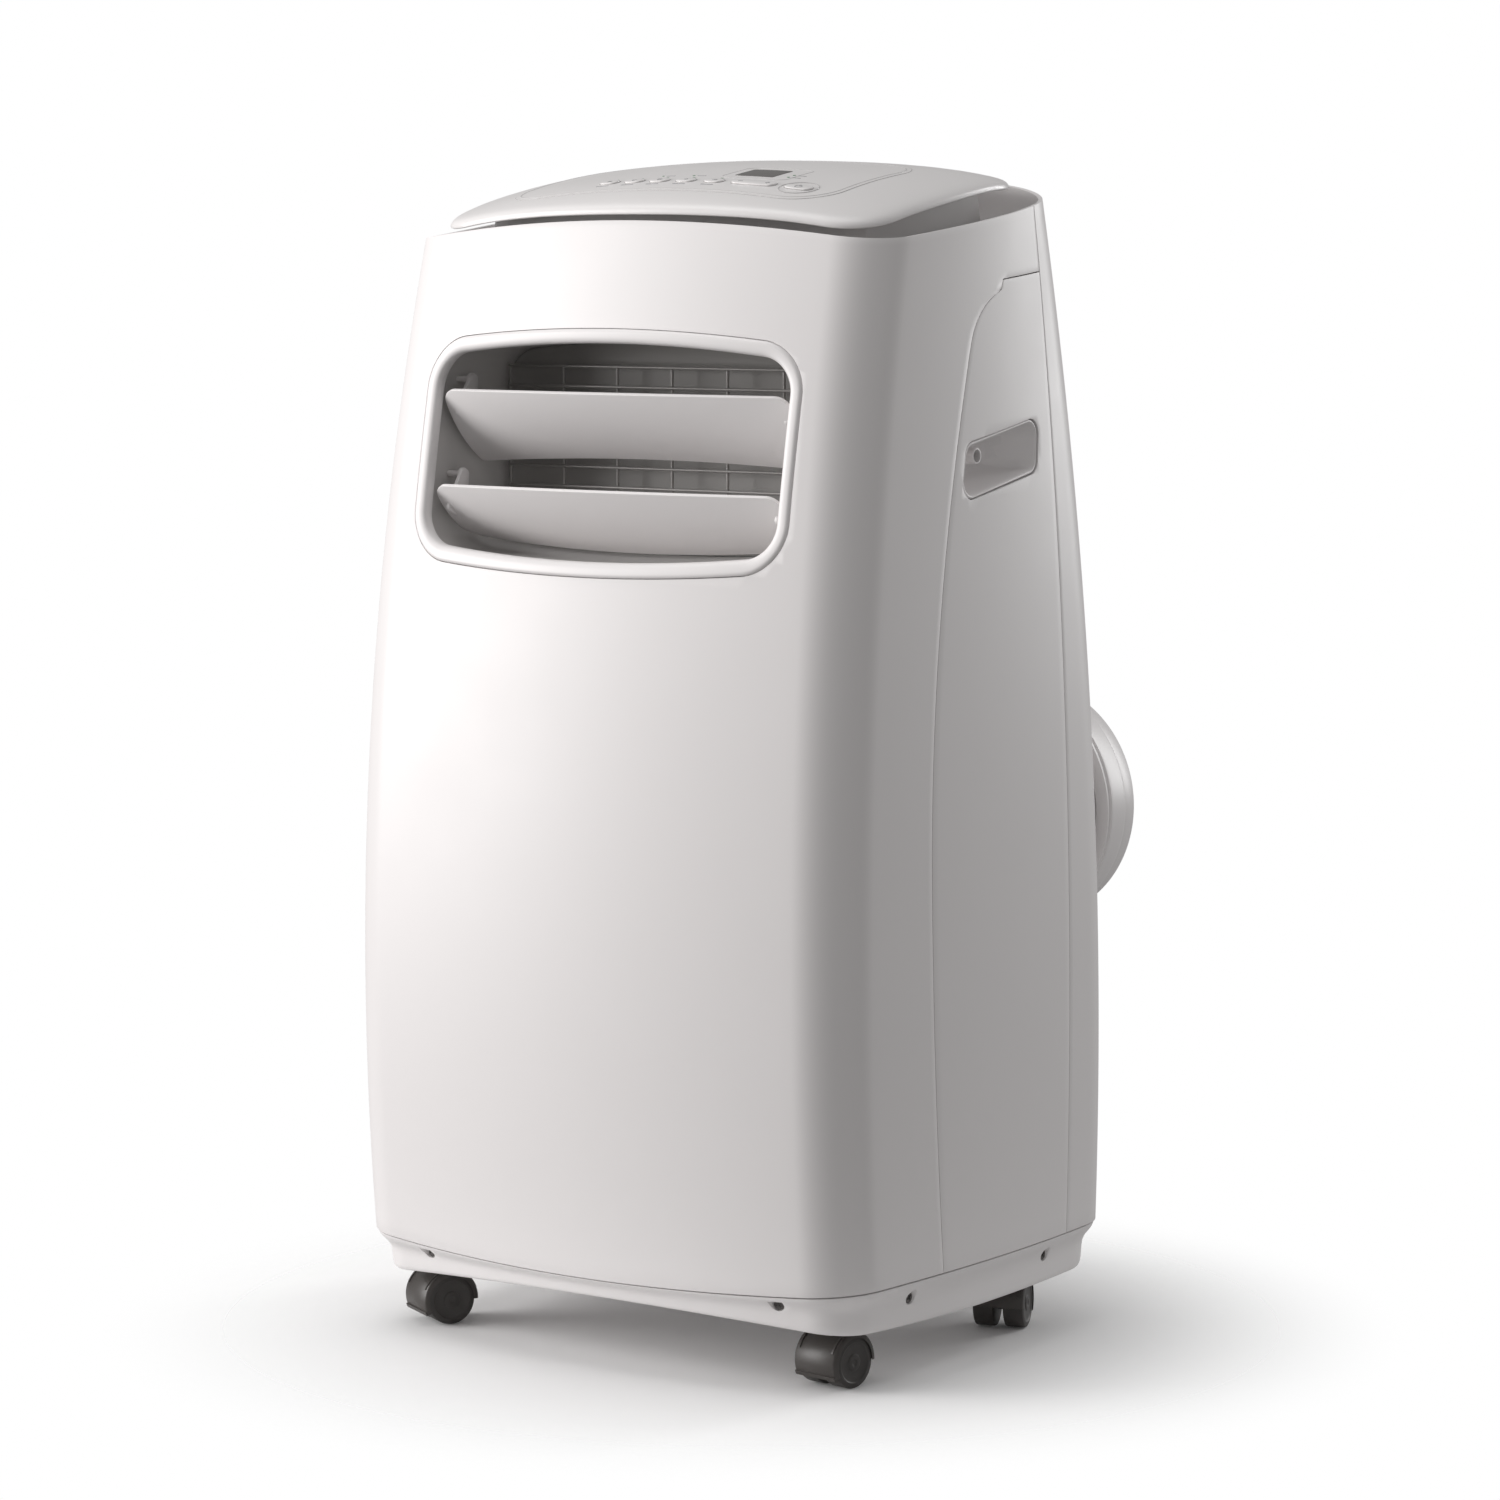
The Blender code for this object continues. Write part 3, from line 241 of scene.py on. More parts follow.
def newFinish(name, colour, roughness, metal=0.0, grain=0.0, grainSize=900.0, sheen=0.5):
    finish = bpy.data.materials.new(name)
    finish.use_nodes = True
    tree = finish.node_tree
    shader = tree.nodes["Principled BSDF"]
    shader.inputs["Base Color"].default_value = (*colour, 1.0)
    shader.inputs["Roughness"].default_value = roughness
    shader.inputs["Metallic"].default_value = metal
    shader.inputs["Specular IOR Level"].default_value = sheen
    if grain:
        where = tree.nodes.new("ShaderNodeTexCoord")
        noise = tree.nodes.new("ShaderNodeTexNoise")
        noise.inputs["Scale"].default_value = grainSize
        noise.inputs["Detail"].default_value = 3.0
        tree.links.new(where.outputs["Object"], noise.inputs["Vector"])
        bump = tree.nodes.new("ShaderNodeBump")
        bump.inputs["Strength"].default_value = grain
        bump.inputs["Distance"].default_value = 0.0004
        tree.links.new(noise.outputs["Fac"], bump.inputs["Height"])
        tree.links.new(bump.outputs["Normal"], shader.inputs["Normal"])
        patchy = tree.nodes.new("ShaderNodeMapRange")
        patchy.inputs["To Min"].default_value = max(0.05, roughness - 0.04)
        patchy.inputs["To Max"].default_value = min(1.0, roughness + 0.05)
        broad = tree.nodes.new("ShaderNodeTexNoise")
        broad.inputs["Scale"].default_value = 22.0
        tree.links.new(where.outputs["Object"], broad.inputs["Vector"])
        tree.links.new(broad.outputs["Fac"], patchy.inputs["Value"])
        tree.links.new(patchy.outputs["Result"], shader.inputs["Roughness"])
    return finish


shellFinish = newFinish("shellWhite", (0.84, 0.815, 0.812), 0.38, grain=0.04)
lidFinish = newFinish("lidWhite", (0.81, 0.79, 0.785), 0.30, grain=0.03)
# painted shade: a white plastic made light grey, for the deck and pedestal in the recess under the lid, the exhaust
# collar and the inner parts
innerShadedFinish = newFinish("innerWhitePaintedShade", (0.60, 0.585, 0.58), 0.5, grain=0.08)
ductFinish = newFinish("ductGrey", (0.62, 0.605, 0.595), 0.48, grain=0.08)
guideFinish = newFinish("guideGrey", (0.33, 0.32, 0.31), 0.5, grain=0.08)
greyFinish = newFinish("midGrey", (0.30, 0.30, 0.30), 0.45, grain=0.08)
casterFinish = newFinish("casterGrey", (0.052, 0.046, 0.042), 0.40, grain=0.22, grainSize=1600.0)
wheelFinish = newFinish("wheelGrey", (0.042, 0.038, 0.035), 0.48, grain=0.18, grainSize=1600.0)
lensFinish = newFinish("displayLens", (0.115, 0.108, 0.102), 0.18)
markFinish = newFinish("printedGrey", (0.30, 0.30, 0.31), 0.5)
lineFinish = newFinish("outlineGrey", (0.56, 0.55, 0.545), 0.4)
# painted shade: this grey is drawn as thin lines in the gaps round the control panel and round each key
gapShadeFinish = newFinish("shadowGap", (0.42, 0.41, 0.405), 0.6)
lampFinish = newFinish("lampGreen", (0.22, 0.34, 0.24), 0.3)
wireFinish = newFinish("greyWire", (0.34, 0.33, 0.32), 0.42, metal=0.3, grain=0.05)
steelFinish = newFinish("plainSteel", (0.56, 0.56, 0.57), 0.32, metal=1.0, grain=0.06)
screwFinish = newFinish("darkScrew", (0.16, 0.15, 0.145), 0.35, metal=0.9)
finFinish = newFinish("coilFins", (0.62, 0.64, 0.66), 0.38, metal=1.0, grain=0.3, grainSize=500.0)
copperFinish = newFinish("copperTube", (0.72, 0.38, 0.22), 0.28, metal=1.0, grain=0.05)
paintFinish = newFinish("blackPaint", (0.02, 0.02, 0.022), 0.35, grain=0.05)
netFinish = newFinish("filterNet", (0.09, 0.10, 0.11), 0.85, grain=0.6, grainSize=700.0)
for slotName, finish, names in (
    ("coil", finFinish, ("evaporator", "condenser")),
    ("pump", paintFinish, ("compressor",)),
    ("pipe", copperFinish, ("refrigerant_pipe",)),
    ("net", netFinish, ("air_filter",)),
    ("steel", steelFinish, ("louver_motor", "evaporator_fan_motor", "condenser_fan_motor",
                            "front_left_axle", "front_right_axle", "rear_left_axle", "rear_right_axle")),
    # painted shade: the deck in the recess under the lid takes the white plastic made grey
    ("inner", innerShadedFinish, ("partition_tray", "evaporator_fan_housing", "condenser_fan_housing", "top_deck")),
    ("grey", greyFinish, ("evaporator_fan", "condenser_fan", "control_box")),
):
    for nodeName in names:
        nodes[nodeName].data.materials.clear()
        nodes[nodeName].data.materials.append(finish)
print("finishes ready")


# the cabinet's skin: its plan section at any height

cabinet = {
    "width": (0.185, 0.046, 0.156),
    "front": (0.1625, 0.291, 0.233),
    "back": (0.1645, 0.198, 0.152),
    "frontCrown": 0.0208,
    "sideCrown": 0.0112,
    "backCrown": 0.0071,
    "frontCorner": 0.039,
    "backCorner": 0.0435,
    "seam": (0.0612, 0.0068),  # height at the sides, and how far it dips at the front
    "skirt": (0.0326, 0.0097),
    "rim": (0.6608, 0.1343, 0.0157),
    "floor": 0.0435,
    "waist": (-0.060, 0.290),
    "lean": (0.53, 0.24),
    "rounding": 0.030,
    "wing": 0.938,
    "wingFoot": 0.622,
    "rearSeam": (0.092, 0.110, 0.180),
    "wall": 0.0025,
}


def fall(curve, z):
    return curve[0] - curve[1] * (z - curve[2]) ** 2


def quarterPlan(width, depth, crown, sideCrown, radius, count=110):
    x = inner = width - radius
    y = depth - radius
    for _ in range(12):
        y = depth - radius - crown * (x / width) ** 2
        x = inner - sideCrown * (y / depth) ** 2
    across = np.linspace(0, x, count)
    edge = np.stack([across, depth - radius - crown * (across / width) ** 2], axis=1)
    outward = np.stack([2 * crown * across / width**2, np.ones(count)], axis=1)
    outward /= np.linalg.norm(outward, axis=1)[:, None]
    down = np.linspace(y, 0, count)
    side = np.stack([inner - sideCrown * (down / depth) ** 2, down], axis=1)
    sideways = np.stack([np.ones(count), 2 * sideCrown * down / depth**2], axis=1)
    sideways /= np.linalg.norm(sideways, axis=1)[:, None]
    sweep = np.linspace(math.atan2(*outward[-1][::-1]), math.atan2(*sideways[0][::-1]), count)
    arc = np.stack([x + radius * np.cos(sweep), y + radius * np.sin(sweep)], axis=1)
    return [edge + radius * outward, arc, side + radius * sideways]


def seamLine(z):
    lean = cabinet["lean"][0] if z > cabinet["waist"][1] else cabinet["lean"][1]
    rounding = cabinet["rounding"]
    bent = min(0.98, max(0.0, (z - cabinet["wingFoot"] + rounding) / rounding))
    return cabinet["waist"][0] + lean * (z - cabinet["waist"][1]) ** 2 + rounding * (1 - math.sqrt(1 - bent**2))


planCache = {}


def halfPlan(z, inset):
    key = (round(z, 5), inset)
    if key not in planCache:
        width, front, back = (fall(cabinet[side], z) - inset for side in ("width", "front", "back"))
        ahead = quarterPlan(width, front, cabinet["frontCrown"], cabinet["sideCrown"], cabinet["frontCorner"] - inset)
        behind = quarterPlan(width, back, cabinet["backCrown"], cabinet["sideCrown"], cabinet["backCorner"] - inset)
        runs = [run * (1, -1) for run in ahead] + [run[::-1] for run in behind[::-1]]
        points = np.concatenate(runs)
        along = np.concatenate([[0], np.cumsum(np.linalg.norm(np.diff(points, axis=0), axis=1))])
        count = len(runs[0])
        side = slice(2 * count, 4 * count)
        seams = np.interp([seamLine(z), fall(cabinet["rearSeam"], z)], points[side, 1], along[side])
        ends = [along[run * count - 1] for run in (1, 2, 4, 5)]
        planCache[key] = (points, along, [0, *ends[:2], *seams, *ends[2:], along[-1]])
    return planCache[key]


def skinAt(z, station, inset=0.0, shift=0.0):
    # stations: 0 front centre, 1 and 2 front corner, 3 side seam, 4 rear seam, 5 and 6 rear corner, 7 rear centre
    points, along, stations = halfPlan(z, inset)
    place = np.interp(abs(station), range(8), stations) + shift
    x = float(np.interp(place, along, points[:, 0]))
    return Vector((-x if station < 0 else x, float(np.interp(place, along, points[:, 1])) + shellBack, z))


def frontShare(x, y):
    return (1 - (x / cabinet["width"][0]) ** 2) * min(1.0, max(0.0, -(y - shellBack) / 0.1))


def seamHeight(x, y):
    return cabinet["seam"][0] - cabinet["seam"][1] * frontShare(x, y)


def skirtHeight(x, y):
    return cabinet["skirt"][0] + cabinet["skirt"][1] * frontShare(x, y)


rimWidth = fall(cabinet["width"], cabinet["rim"][0])


def rimHeight(x, y):
    high, slope, arch = cabinet["rim"]
    return high + slope * (y - shellBack) + arch * (1 - (x / rimWidth) ** 2)


def frontFace(x, z):
    return -fall(cabinet["front"], z) + cabinet["frontCrown"] * (x / fall(cabinet["width"], z)) ** 2 + shellBack


def backFace(x, z):
    return fall(cabinet["back"], z) - cabinet["backCrown"] * (x / fall(cabinet["width"], z)) ** 2 + shellBack


def panelPlace(station, share, shift=0.0):
    foot = skinAt(cabinet["seam"][0], station, 0.0, shift)
    head = skinAt(cabinet["rim"][0], station, 0.0, shift)
    low, high = seamHeight(foot.x, foot.y) + 0.0007, rimHeight(head.x, head.y)
    return skinAt(low + (high - low) * share, station, 0.0, shift)


def levelPlace(station, height, inset):
    spot = skinAt(0.33, station, inset)
    for _ in range(3):
        spot = skinAt(height(spot.x, spot.y) if callable(height) else height, station, inset)
    return spot


def stationRun(counts):
    return [k + step / count for k, count in enumerate(counts) for step in range(count)]


def bothSides(stations):
    return [-station for station in stations[:0:-1]] + list(stations)


# the front, with its round corners and the wings that run back above the side panels

frontStations = stationRun((26, 22, 14)) + [3]
wingStations = [3 + step / 10 for step in range(1, 11)]
wingShare = cabinet["wing"]
frontRows = spread(0, 0.86, 66) + spread(0.865, wingShare, 16) + spread(wingShare, 1.0, 9)[1:]
panelGap = 0.0003


def frontPlace(station, share):
    spot = panelPlace(station, share)
    if abs(abs(station) - 3) < 1e-6 and share < wingShare:
        spot = panelPlace(station, share, -panelGap)
    if abs(station) == 4:
        spot = panelPlace(station, share, -panelGap)
    return spot


front = patch("frontPanel", bothSides(frontStations + wingStations), frontRows, frontPlace)
pickOnly(front)
bpy.ops.object.mode_set(mode="EDIT")
bpy.ops.mesh.select_all(action="DESELECT")
bpy.ops.object.mode_set(mode="OBJECT")
wide = len(bothSides(frontStations + wingStations)) - 1
below = sum(1 for share in frontRows if share < wingShare - 1e-9)
for face in front.data.polygons:
    row, column = divmod(face.index, wide)
    if row < below and (column < len(wingStations) or column >= wide - len(wingStations)):
        face.select = True
bpy.ops.object.mode_set(mode="EDIT")
bpy.ops.mesh.select_mode(type="FACE")
bpy.ops.mesh.delete(type="FACE")
bpy.ops.object.mode_set(mode="OBJECT")
giveWall(front, cabinet["wall"])
outlet = {"half": 0.1333, "low": 0.4665, "high": 0.5915, "corner": 0.027, "rise": 0.0088, "sag": 0.007}


def outletOutline(inset, perEdge=28, perCorner=16):
    half, corner = outlet["half"] - inset, outlet["corner"] - inset
    low, high = outlet["low"] + inset, outlet["high"] - inset
    middle = (low + high) / 2
    loop = []
    for k, (x, z) in enumerate(((half, low), (half, high), (-half, high), (-half, low))):
        cx, cz = x - math.copysign(corner, x), z - math.copysign(corner, z - middle)
        start = -math.pi / 2 + k * math.pi / 2
        for step in range(perCorner + 1):
            angle = start + math.pi / 2 * step / perCorner
            loop.append((cx + corner * math.cos(angle), cz + corner * math.sin(angle)))
        if k % 2:
            endX, endZ = loop[-1]
            loop += [(endX - 2 * cx * step / perEdge, endZ) for step in range(1, perEdge)]
        else:
            nextZ = (high - corner) if k == 0 else (low + corner)
            endX, endZ = loop[-1]
            loop += [(endX, endZ + (nextZ - endZ) * step / 6) for step in range(1, 6)]
    arched = []
    for x, z in loop:
        share = max(0.0, 1 - (x / half) ** 2)
        arched.append((x, z + outlet["rise"] * share if z > middle else z - outlet["sag"] * share))
    return arched


cutWith(front, slab(outletOutline(-0.0003), -0.30, -0.09))
roundOff(front, 0.0007, 2, 50)
smoothOver(front, 32)
keepPiece(settle(front, "frontPanel"), "cabinet", "shell_white", shellFinish, "front_panel")
print("front ready")


# side panels with their hand holes

handle = {
    "corners": ((-0.026, 0.5015), (0.0585, 0.5165), (0.0625, 0.5490), (-0.0195, 0.5355)),
    "corner": 0.009,
    "ramp": 0.030,
}
handleCorners = [(y + shellBack, z) for y, z in handle["corners"]]
sideStations = [3] + [3 + step / 24 for step in range(1, 24)] + [4]
sideRows = spread(0, 0.86, 60) + spread(0.865, wingShare - 0.0011, 16)


def sidePlace(side):
    def placeAt(station, share):
        shift = panelGap if station == 3 else (-panelGap if station == 4 else 0.0)
        return panelPlace(side * station, share, shift)

    return placeAt


for side, label in ((1, "right"), (-1, "left")):
    panel = patch("sidePanel", sideStations if side > 0 else sideStations[::-1], sideRows, sidePlace(side))
    giveWall(panel, cabinet["wall"])
    hole = roundCorners(moveCorners(handleCorners, -0.0003), handle["corner"])
    cutWith(panel, slab(hole, 0.14 * side, 0.21 * side, "X"))
    roundOff(panel, 0.0008, 3, 50)
    smoothOver(panel, 32)
    keepPiece(settle(panel, label + "SidePanel"), "cabinet", "shell_white", shellFinish, label + "_side_panel")
print("sides ready")


# the back, open behind the intake, the exhaust, the drain and the cord gland

rear = {
    "filter": ((-0.128, 0.405), (0.128, 0.405), (0.122, 0.632), (-0.122, 0.632)),
    "grille": ((-0.135, 0.085), (0.135, 0.085), (0.135, 0.205), (-0.135, 0.205)),
    "openCorner": 0.010,
    "adaptor": (0.085, 0.305),
    "adaptorRadius": 0.075,
    "gland": (-0.120, 0.250),
    "drain": (-0.095, 0.300),
}
rearStations = [4 + step / 6 for step in range(6)] + [5 + step / 16 for step in range(16)]
rearStations += [6 + step / 22 for step in range(23)]


def rearPlace(station, share):
    return panelPlace(station, share, panelGap if abs(station) == 4 else 0.0)


aroundBack = rearStations + [-station for station in rearStations[-2::-1]]
back = patch("rearPanel", aroundBack, spread(0, 1, 84), rearPlace)
giveWall(back, cabinet["wall"])
for corners in (rear["filter"], rear["grille"]):
    cutWith(back, slab(roundCorners(corners, rear["openCorner"]), 0.04, 0.22))
cutWith(back, drum(rear["adaptorRadius"] - 0.004, 0.08, 0.22, rear["adaptor"], "Y", 96))
cutWith(back, drum(0.0072, 0.08, 0.22, rear["gland"], "Y", 32))
cutWith(back, drum(0.0088, 0.08, 0.22, rear["drain"], "Y", 32))
roundOff(back, 0.0006, 2, 50)
smoothOver(back, 32)
keepPiece(settle(back, "rearPanel"), "cabinet", "shell_white", shellFinish, "rear_panel")
print("back ready")


# the skirt: a cove below the panels, a plain band, and a rounded lower lip

skirtProfile = [
    (None, 0.0125), ("lip", 0.0068), ("lip", 0.0040), (0.99, 0.0034), (0.985, 0.0009), (0.95, 0.0011),
    (0.90, 0.0016), (0.84, 0.0026), (0.78, 0.0039), (0.71, 0.0053), (0.63, 0.0064), (0.54, 0.0070), (0.44, 0.0073),
    (0.30, 0.0074), (0.17, 0.0076), (0.09, 0.0080), (0.045, 0.0086), (0.015, 0.0095), (0.0, 0.0106), (0.006, 0.0118),
    (0.05, 0.0124), ("floor", 0.0126), ("middle", 0.0126),
]


def skirtPlace(station, row):
    share, inset = skirtProfile[row]
    if share is None:
        return levelPlace(station, cabinet["floor"] + 0.003, inset)
    if share == "lip":
        return levelPlace(station, lambda x, y: seamHeight(x, y) + 0.009, inset)
    if share == "floor":
        return levelPlace(station, cabinet["floor"], inset)
    if share == "middle":
        return Vector((0, shellBack, cabinet["floor"]))
    return levelPlace(station, lambda x, y: skirtHeight(x, y) + (seamHeight(x, y) - skirtHeight(x, y)) * share, inset)


ringStations = bothSides(stationRun((22, 16, 6, 20, 6, 14, 18)) + [7])
skirt = patch("skirt", ringStations, range(len(skirtProfile)), skirtPlace)
faceOut(skirt)
pickOnly(skirt)
bpy.ops.object.mode_set(mode="EDIT")
bpy.ops.mesh.select_mode(type="EDGE")
bpy.ops.mesh.select_all(action="DESELECT")
bpy.ops.mesh.select_non_manifold(extend=False)
bpy.ops.mesh.edge_face_add()
bpy.ops.mesh.select_all(action="SELECT")
bpy.ops.mesh.normals_make_consistent(inside=False)
bpy.ops.object.mode_set(mode="OBJECT")

screws = {
    "spots": ((-0.121, 0.0565), (0.130, 0.0530), (-0.130, 0.0530)),
    "recess": 0.0052,
    "head": 0.0034,
}
screwSeats = []
for x, side in ((-0.121, -1), (0.129, 1)):
    seat = skinAt(0.053, side * 1.0, 0.0075)
    station = side * np.interp(abs(x), [0, abs(seat.x)], [0, 1])
    spot = skinAt(0.0525, station, 0.0074)
    ahead = skinAt(0.0525, station + 0.02, 0.0074) - skinAt(0.0525, station - 0.02, 0.0074)
    screwSeats.append((spot, Vector((ahead.y, -ahead.x, 0)).normalized()))
for side in (1, -1):
    for y in (-0.070, 0.075):
        x = fall(cabinet["width"], 0.055) - 0.0074 - cabinet["sideCrown"] * (y / 0.16) ** 2
        screwSeats.append((Vector((side * x, y + shellBack, 0.0505)), Vector((side, 0, 0))))
screwPieces = []
for spot, outward in screwSeats:
    outward = outward if outward.dot(Vector((spot.x, spot.y, 0))) > 0 else -outward
    turn = outward.to_track_quat("Z", "Y").to_matrix().to_4x4()
    bpy.ops.mesh.primitive_cone_add(vertices=40, radius1=0.0038, radius2=screws["recess"], depth=0.0080)
    hollow = bpy.context.object
    hollow.matrix_world = Matrix.Translation(spot + outward * 0.0018) @ turn
    settle(hollow, "hollow")
    cutWith(skirt, hollow)
    bpy.ops.mesh.primitive_cylinder_add(vertices=32, radius=screws["head"], depth=0.0014)
    head = settle(bpy.context.object, "head")
    roundOff(head, 0.0006, 3, 50)
    for angle in (0, math.pi / 2):
        bpy.ops.mesh.primitive_cube_add(size=1)
        slot = bpy.context.object
        slot.scale = (0.0042, 0.0009, 0.0012)
        slot.rotation_euler = (0, 0, angle + 0.5)
        slot.location = (0, 0, 0.0007)
        settle(slot, "slot")
        cutWith(head, slot)
    head.matrix_world = Matrix.Translation(spot - outward * 0.0012) @ turn
    screwPieces.append(settle(head, "screw"))
roundOff(skirt, 0.0004, 2, 50)
smoothOver(skirt, 40)
keepPiece(settle(skirt, "skirt"), "cabinet", "shell_white", shellFinish, "base_pan")
skirtScrews = smoothOver(joinAll(screwPieces, "skirtScrews"), 35)
keepPiece(skirtScrews, "cabinet", "bare_steel", screwFinish)
print("skirt ready")


# the deck inside the rim, the pedestal, and the domed lid that floats on it

lidShape = {
    "height": 0.698,
    "crownY": 0.07,
    "fall": 0.825,
    "sideFall": 0.46,
    "sideTwist": 1.7,
    "roll": 0.0045,
    "half": (0.160, 0.0945),
    "middleY": -0.0055,
    "thickness": 0.004,
    "pedestalInset": 0.034,
    "deckDrop": 0.014,
}


def domeHeight(x, y):
    depth = y - shellBack
    edge = (x / lidShape["half"][0]) ** 4 + ((depth - lidShape["middleY"]) / lidShape["half"][1]) ** 4
    toSide = (lidShape["sideFall"] - lidShape["sideTwist"] * depth) * x**2
    toFront = lidShape["fall"] * (depth - lidShape["crownY"]) ** 2
    return lidShape["height"] - toFront - toSide - lidShape["roll"] * edge**1.5


def deckHeight(x, y):
    return cabinet["rim"][0] - lidShape["deckDrop"] + cabinet["rim"][1] * (y - shellBack)


def underLid(x, y):
    return domeHeight(x, y) - lidShape["thickness"] - 0.0006


def pedestalPlace(station, row):
    inset = lidShape["pedestalInset"]
    return (
        levelPlace(station, lambda x, y: deckHeight(x, y) + 0.0002, inset - 0.0015),
        levelPlace(station, lambda x, y: deckHeight(x, y) + 0.0015, inset),
        levelPlace(station, underLid, inset),
        levelPlace(station, underLid, inset + 0.0025),
        levelPlace(station, lambda x, y: deckHeight(x, y) + 0.0002, inset + 0.0025),
    )[row % 5]


pedestal = patch("pedestal", ringStations, range(6), pedestalPlace)
faceOut(pedestal)
smoothOver(pedestal, 40)
# painted shade: the pedestal under the lid takes the white plastic made grey
keepPiece(settle(pedestal, "lidPedestal"), "cabinet", "inner_white", innerShadedFinish, "lid_pedestal")

rimRing = [skinAt(cabinet["rim"][0], station) for station in ringStations]
rimFar = max(spot.x for spot in rimRing)
rimNear, rimBack = min(spot.y for spot in rimRing), max(spot.y for spot in rimRing)
lidPlan = [(spot.x / rimFar, 2 * (spot.y - rimNear) / (rimBack - rimNear) - 1) for spot in rimRing]
lidProfile = [(0.0, 0.0)] + [(share, 0.0) for share in (0.1, 0.2, 0.3, 0.4, 0.5, 0.6, 0.7, 0.78, 0.85, 0.9, 0.94)]
lidProfile += [(0.965, 0.0001), (0.980, 0.0004), (0.989, 0.0009), (0.995, 0.0016), (0.9990, 0.0025), (1.0, 0.0034),
               (0.9985, 0.0042), (0.993, 0.0049), (0.984, 0.0052), (0.965, 0.0050), (0.94, 0.0042)]
lidProfile += [(share, 0.0040) for share in (0.85, 0.7, 0.5, 0.3, 0.1, 0.0)]


def lidPlace(column, row):
    share, drop = lidProfile[row]
    x, along = lidPlan[column]
    x *= lidShape["half"][0] * share
    y = lidShape["middleY"] + along * lidShape["half"][1] * share + shellBack
    return Vector((x, y, domeHeight(x, y) - drop))


lid = patch("lid", range(len(lidPlan)), range(len(lidProfile)), lidPlace)
faceOut(lid)

panelShape = {
    "corners": ((-0.115, -0.078), (0.115, -0.078), (0.115, 0.040), (-0.115, 0.040)),
    "corner": 0.030,
    "centre": (0.0, -0.019),
    "depth": 0.0016,
}
panelCorners = [(x, y + shellBack) for x, y in panelShape["corners"]]
panelCentre = Vector((panelShape["centre"][0], panelShape["centre"][1] + shellBack))


def domePlate(name, outline, centre, levels, rings=10):
    # a thin plate over the dome: levels are the heights of its upper and lower face above the dome
    outline = list(outline) + [outline[0]]
    low, high = levels
    rows = [(step / rings, high) for step in range(rings + 1)] + [(1 - step / rings, low) for step in range(rings + 1)]

    def placeAt(column, row):
        share, lift = rows[row]
        spot = centre.lerp(Vector(outline[column]), share)
        return Vector((spot.x, spot.y, domeHeight(spot.x, spot.y) + lift))

    return faceOut(patch(name, range(len(outline)), range(len(rows)), placeAt))


def denser(outline, pitch=0.004):
    dense = []
    for k, corner in enumerate(outline):
        after = Vector(outline[(k + 1) % len(outline)])
        steps = max(1, round((after - Vector(corner)).length / pitch))
        dense += [tuple(Vector(corner).lerp(after, step / steps)) for step in range(steps)]
    return dense


smoothOver(lid, 34)
keepPiece(settle(lid, "lid"), "cabinet", "lid_white", lidFinish, "control_lid")

overlayOutline = denser(roundCorners(panelCorners, panelShape["corner"]))
overlay = domePlate("controlPanel", overlayOutline, panelCentre, (-panelShape["depth"] + 0.0007, 0.0002), 24)

keys = {
    "rowY": -0.057 + shellBack,
    "halfWidth": 0.0042,
    "sizes": {
        "swing_key": (-0.046, 0.0062),
        "sleep_key": (-0.028, 0.0062),
        "timer_key": (-0.010, 0.0062),
        "fan_key": (0.009, 0.0062),
        "mode_key": (0.029, 0.0062),
        "level_key": (0.057, 0.0150),
        "power_key": (0.088, 0.0090),
    },
}


def onDome(x, y, lift=0.0):
    step = 0.001
    slopeX = (domeHeight(x + step, y) - domeHeight(x - step, y)) / (2 * step)
    slopeY = (domeHeight(x, y + step) - domeHeight(x, y - step)) / (2 * step)
    normal = Vector((-slopeX, -slopeY, 1)).normalized()
    along = Vector((1, 0, slopeX)).normalized()
    turn = Matrix((along, normal.cross(along), normal)).transposed().to_4x4()
    return Matrix.Translation(Vector((x, y, domeHeight(x, y))) + normal * lift) @ turn


def pill(halfLength, halfWidth, low, high, soften=0.0):
    # a cylinder whose halves are drawn apart
    bpy.ops.mesh.primitive_cylinder_add(vertices=40, radius=halfWidth, depth=high - low, location=(0, 0, (low + high) / 2))
    piece = settle(bpy.context.object, "pill")
    for point in piece.data.vertices:
        if abs(point.co.x) > 1e-6:
            point.co.x += math.copysign(halfLength - halfWidth, point.co.x)
    if soften:
        roundOff(piece, soften, 3, 50)
    return piece


def stamp(piece, matrix, name):
    piece.matrix_world = matrix
    return settle(piece, name)


def flatBar(length, width, at=(0.0, 0.0), angle=0.0, thick=0.00012):
    bpy.ops.mesh.primitive_cube_add(size=1, location=(at[0], at[1], 0), rotation=(0, 0, angle))
    piece = bpy.context.object
    piece.scale = (length, width, thick)
    return settle(piece, "bar")


def flatRing(radius, width, at=(0.0, 0.0), arc=(0, 360), thick=0.00012, steps=32):
    start, end = (math.radians(value) for value in arc)
    inner, outer = radius - width / 2, radius + width / 2
    corners = ((inner, -thick / 2), (outer, -thick / 2), (outer, thick / 2), (inner, thick / 2), (inner, -thick / 2))

    def placeAt(angle, corner):
        reach, lift = corners[corner]
        return Vector((at[0] + reach * math.cos(angle), at[1] + reach * math.sin(angle), lift))

    piece = faceOut(patch("ring", spread(start, end, steps), range(5), placeAt))
    if arc[1] - arc[0] < 360:
        pickOnly(piece)
        bpy.ops.object.mode_set(mode="EDIT")
        bpy.ops.mesh.select_mode(type="EDGE")
        bpy.ops.mesh.select_all(action="DESELECT")
        bpy.ops.mesh.select_non_manifold(extend=False)
        bpy.ops.mesh.fill()
        bpy.ops.object.mode_set(mode="OBJECT")
    return piece


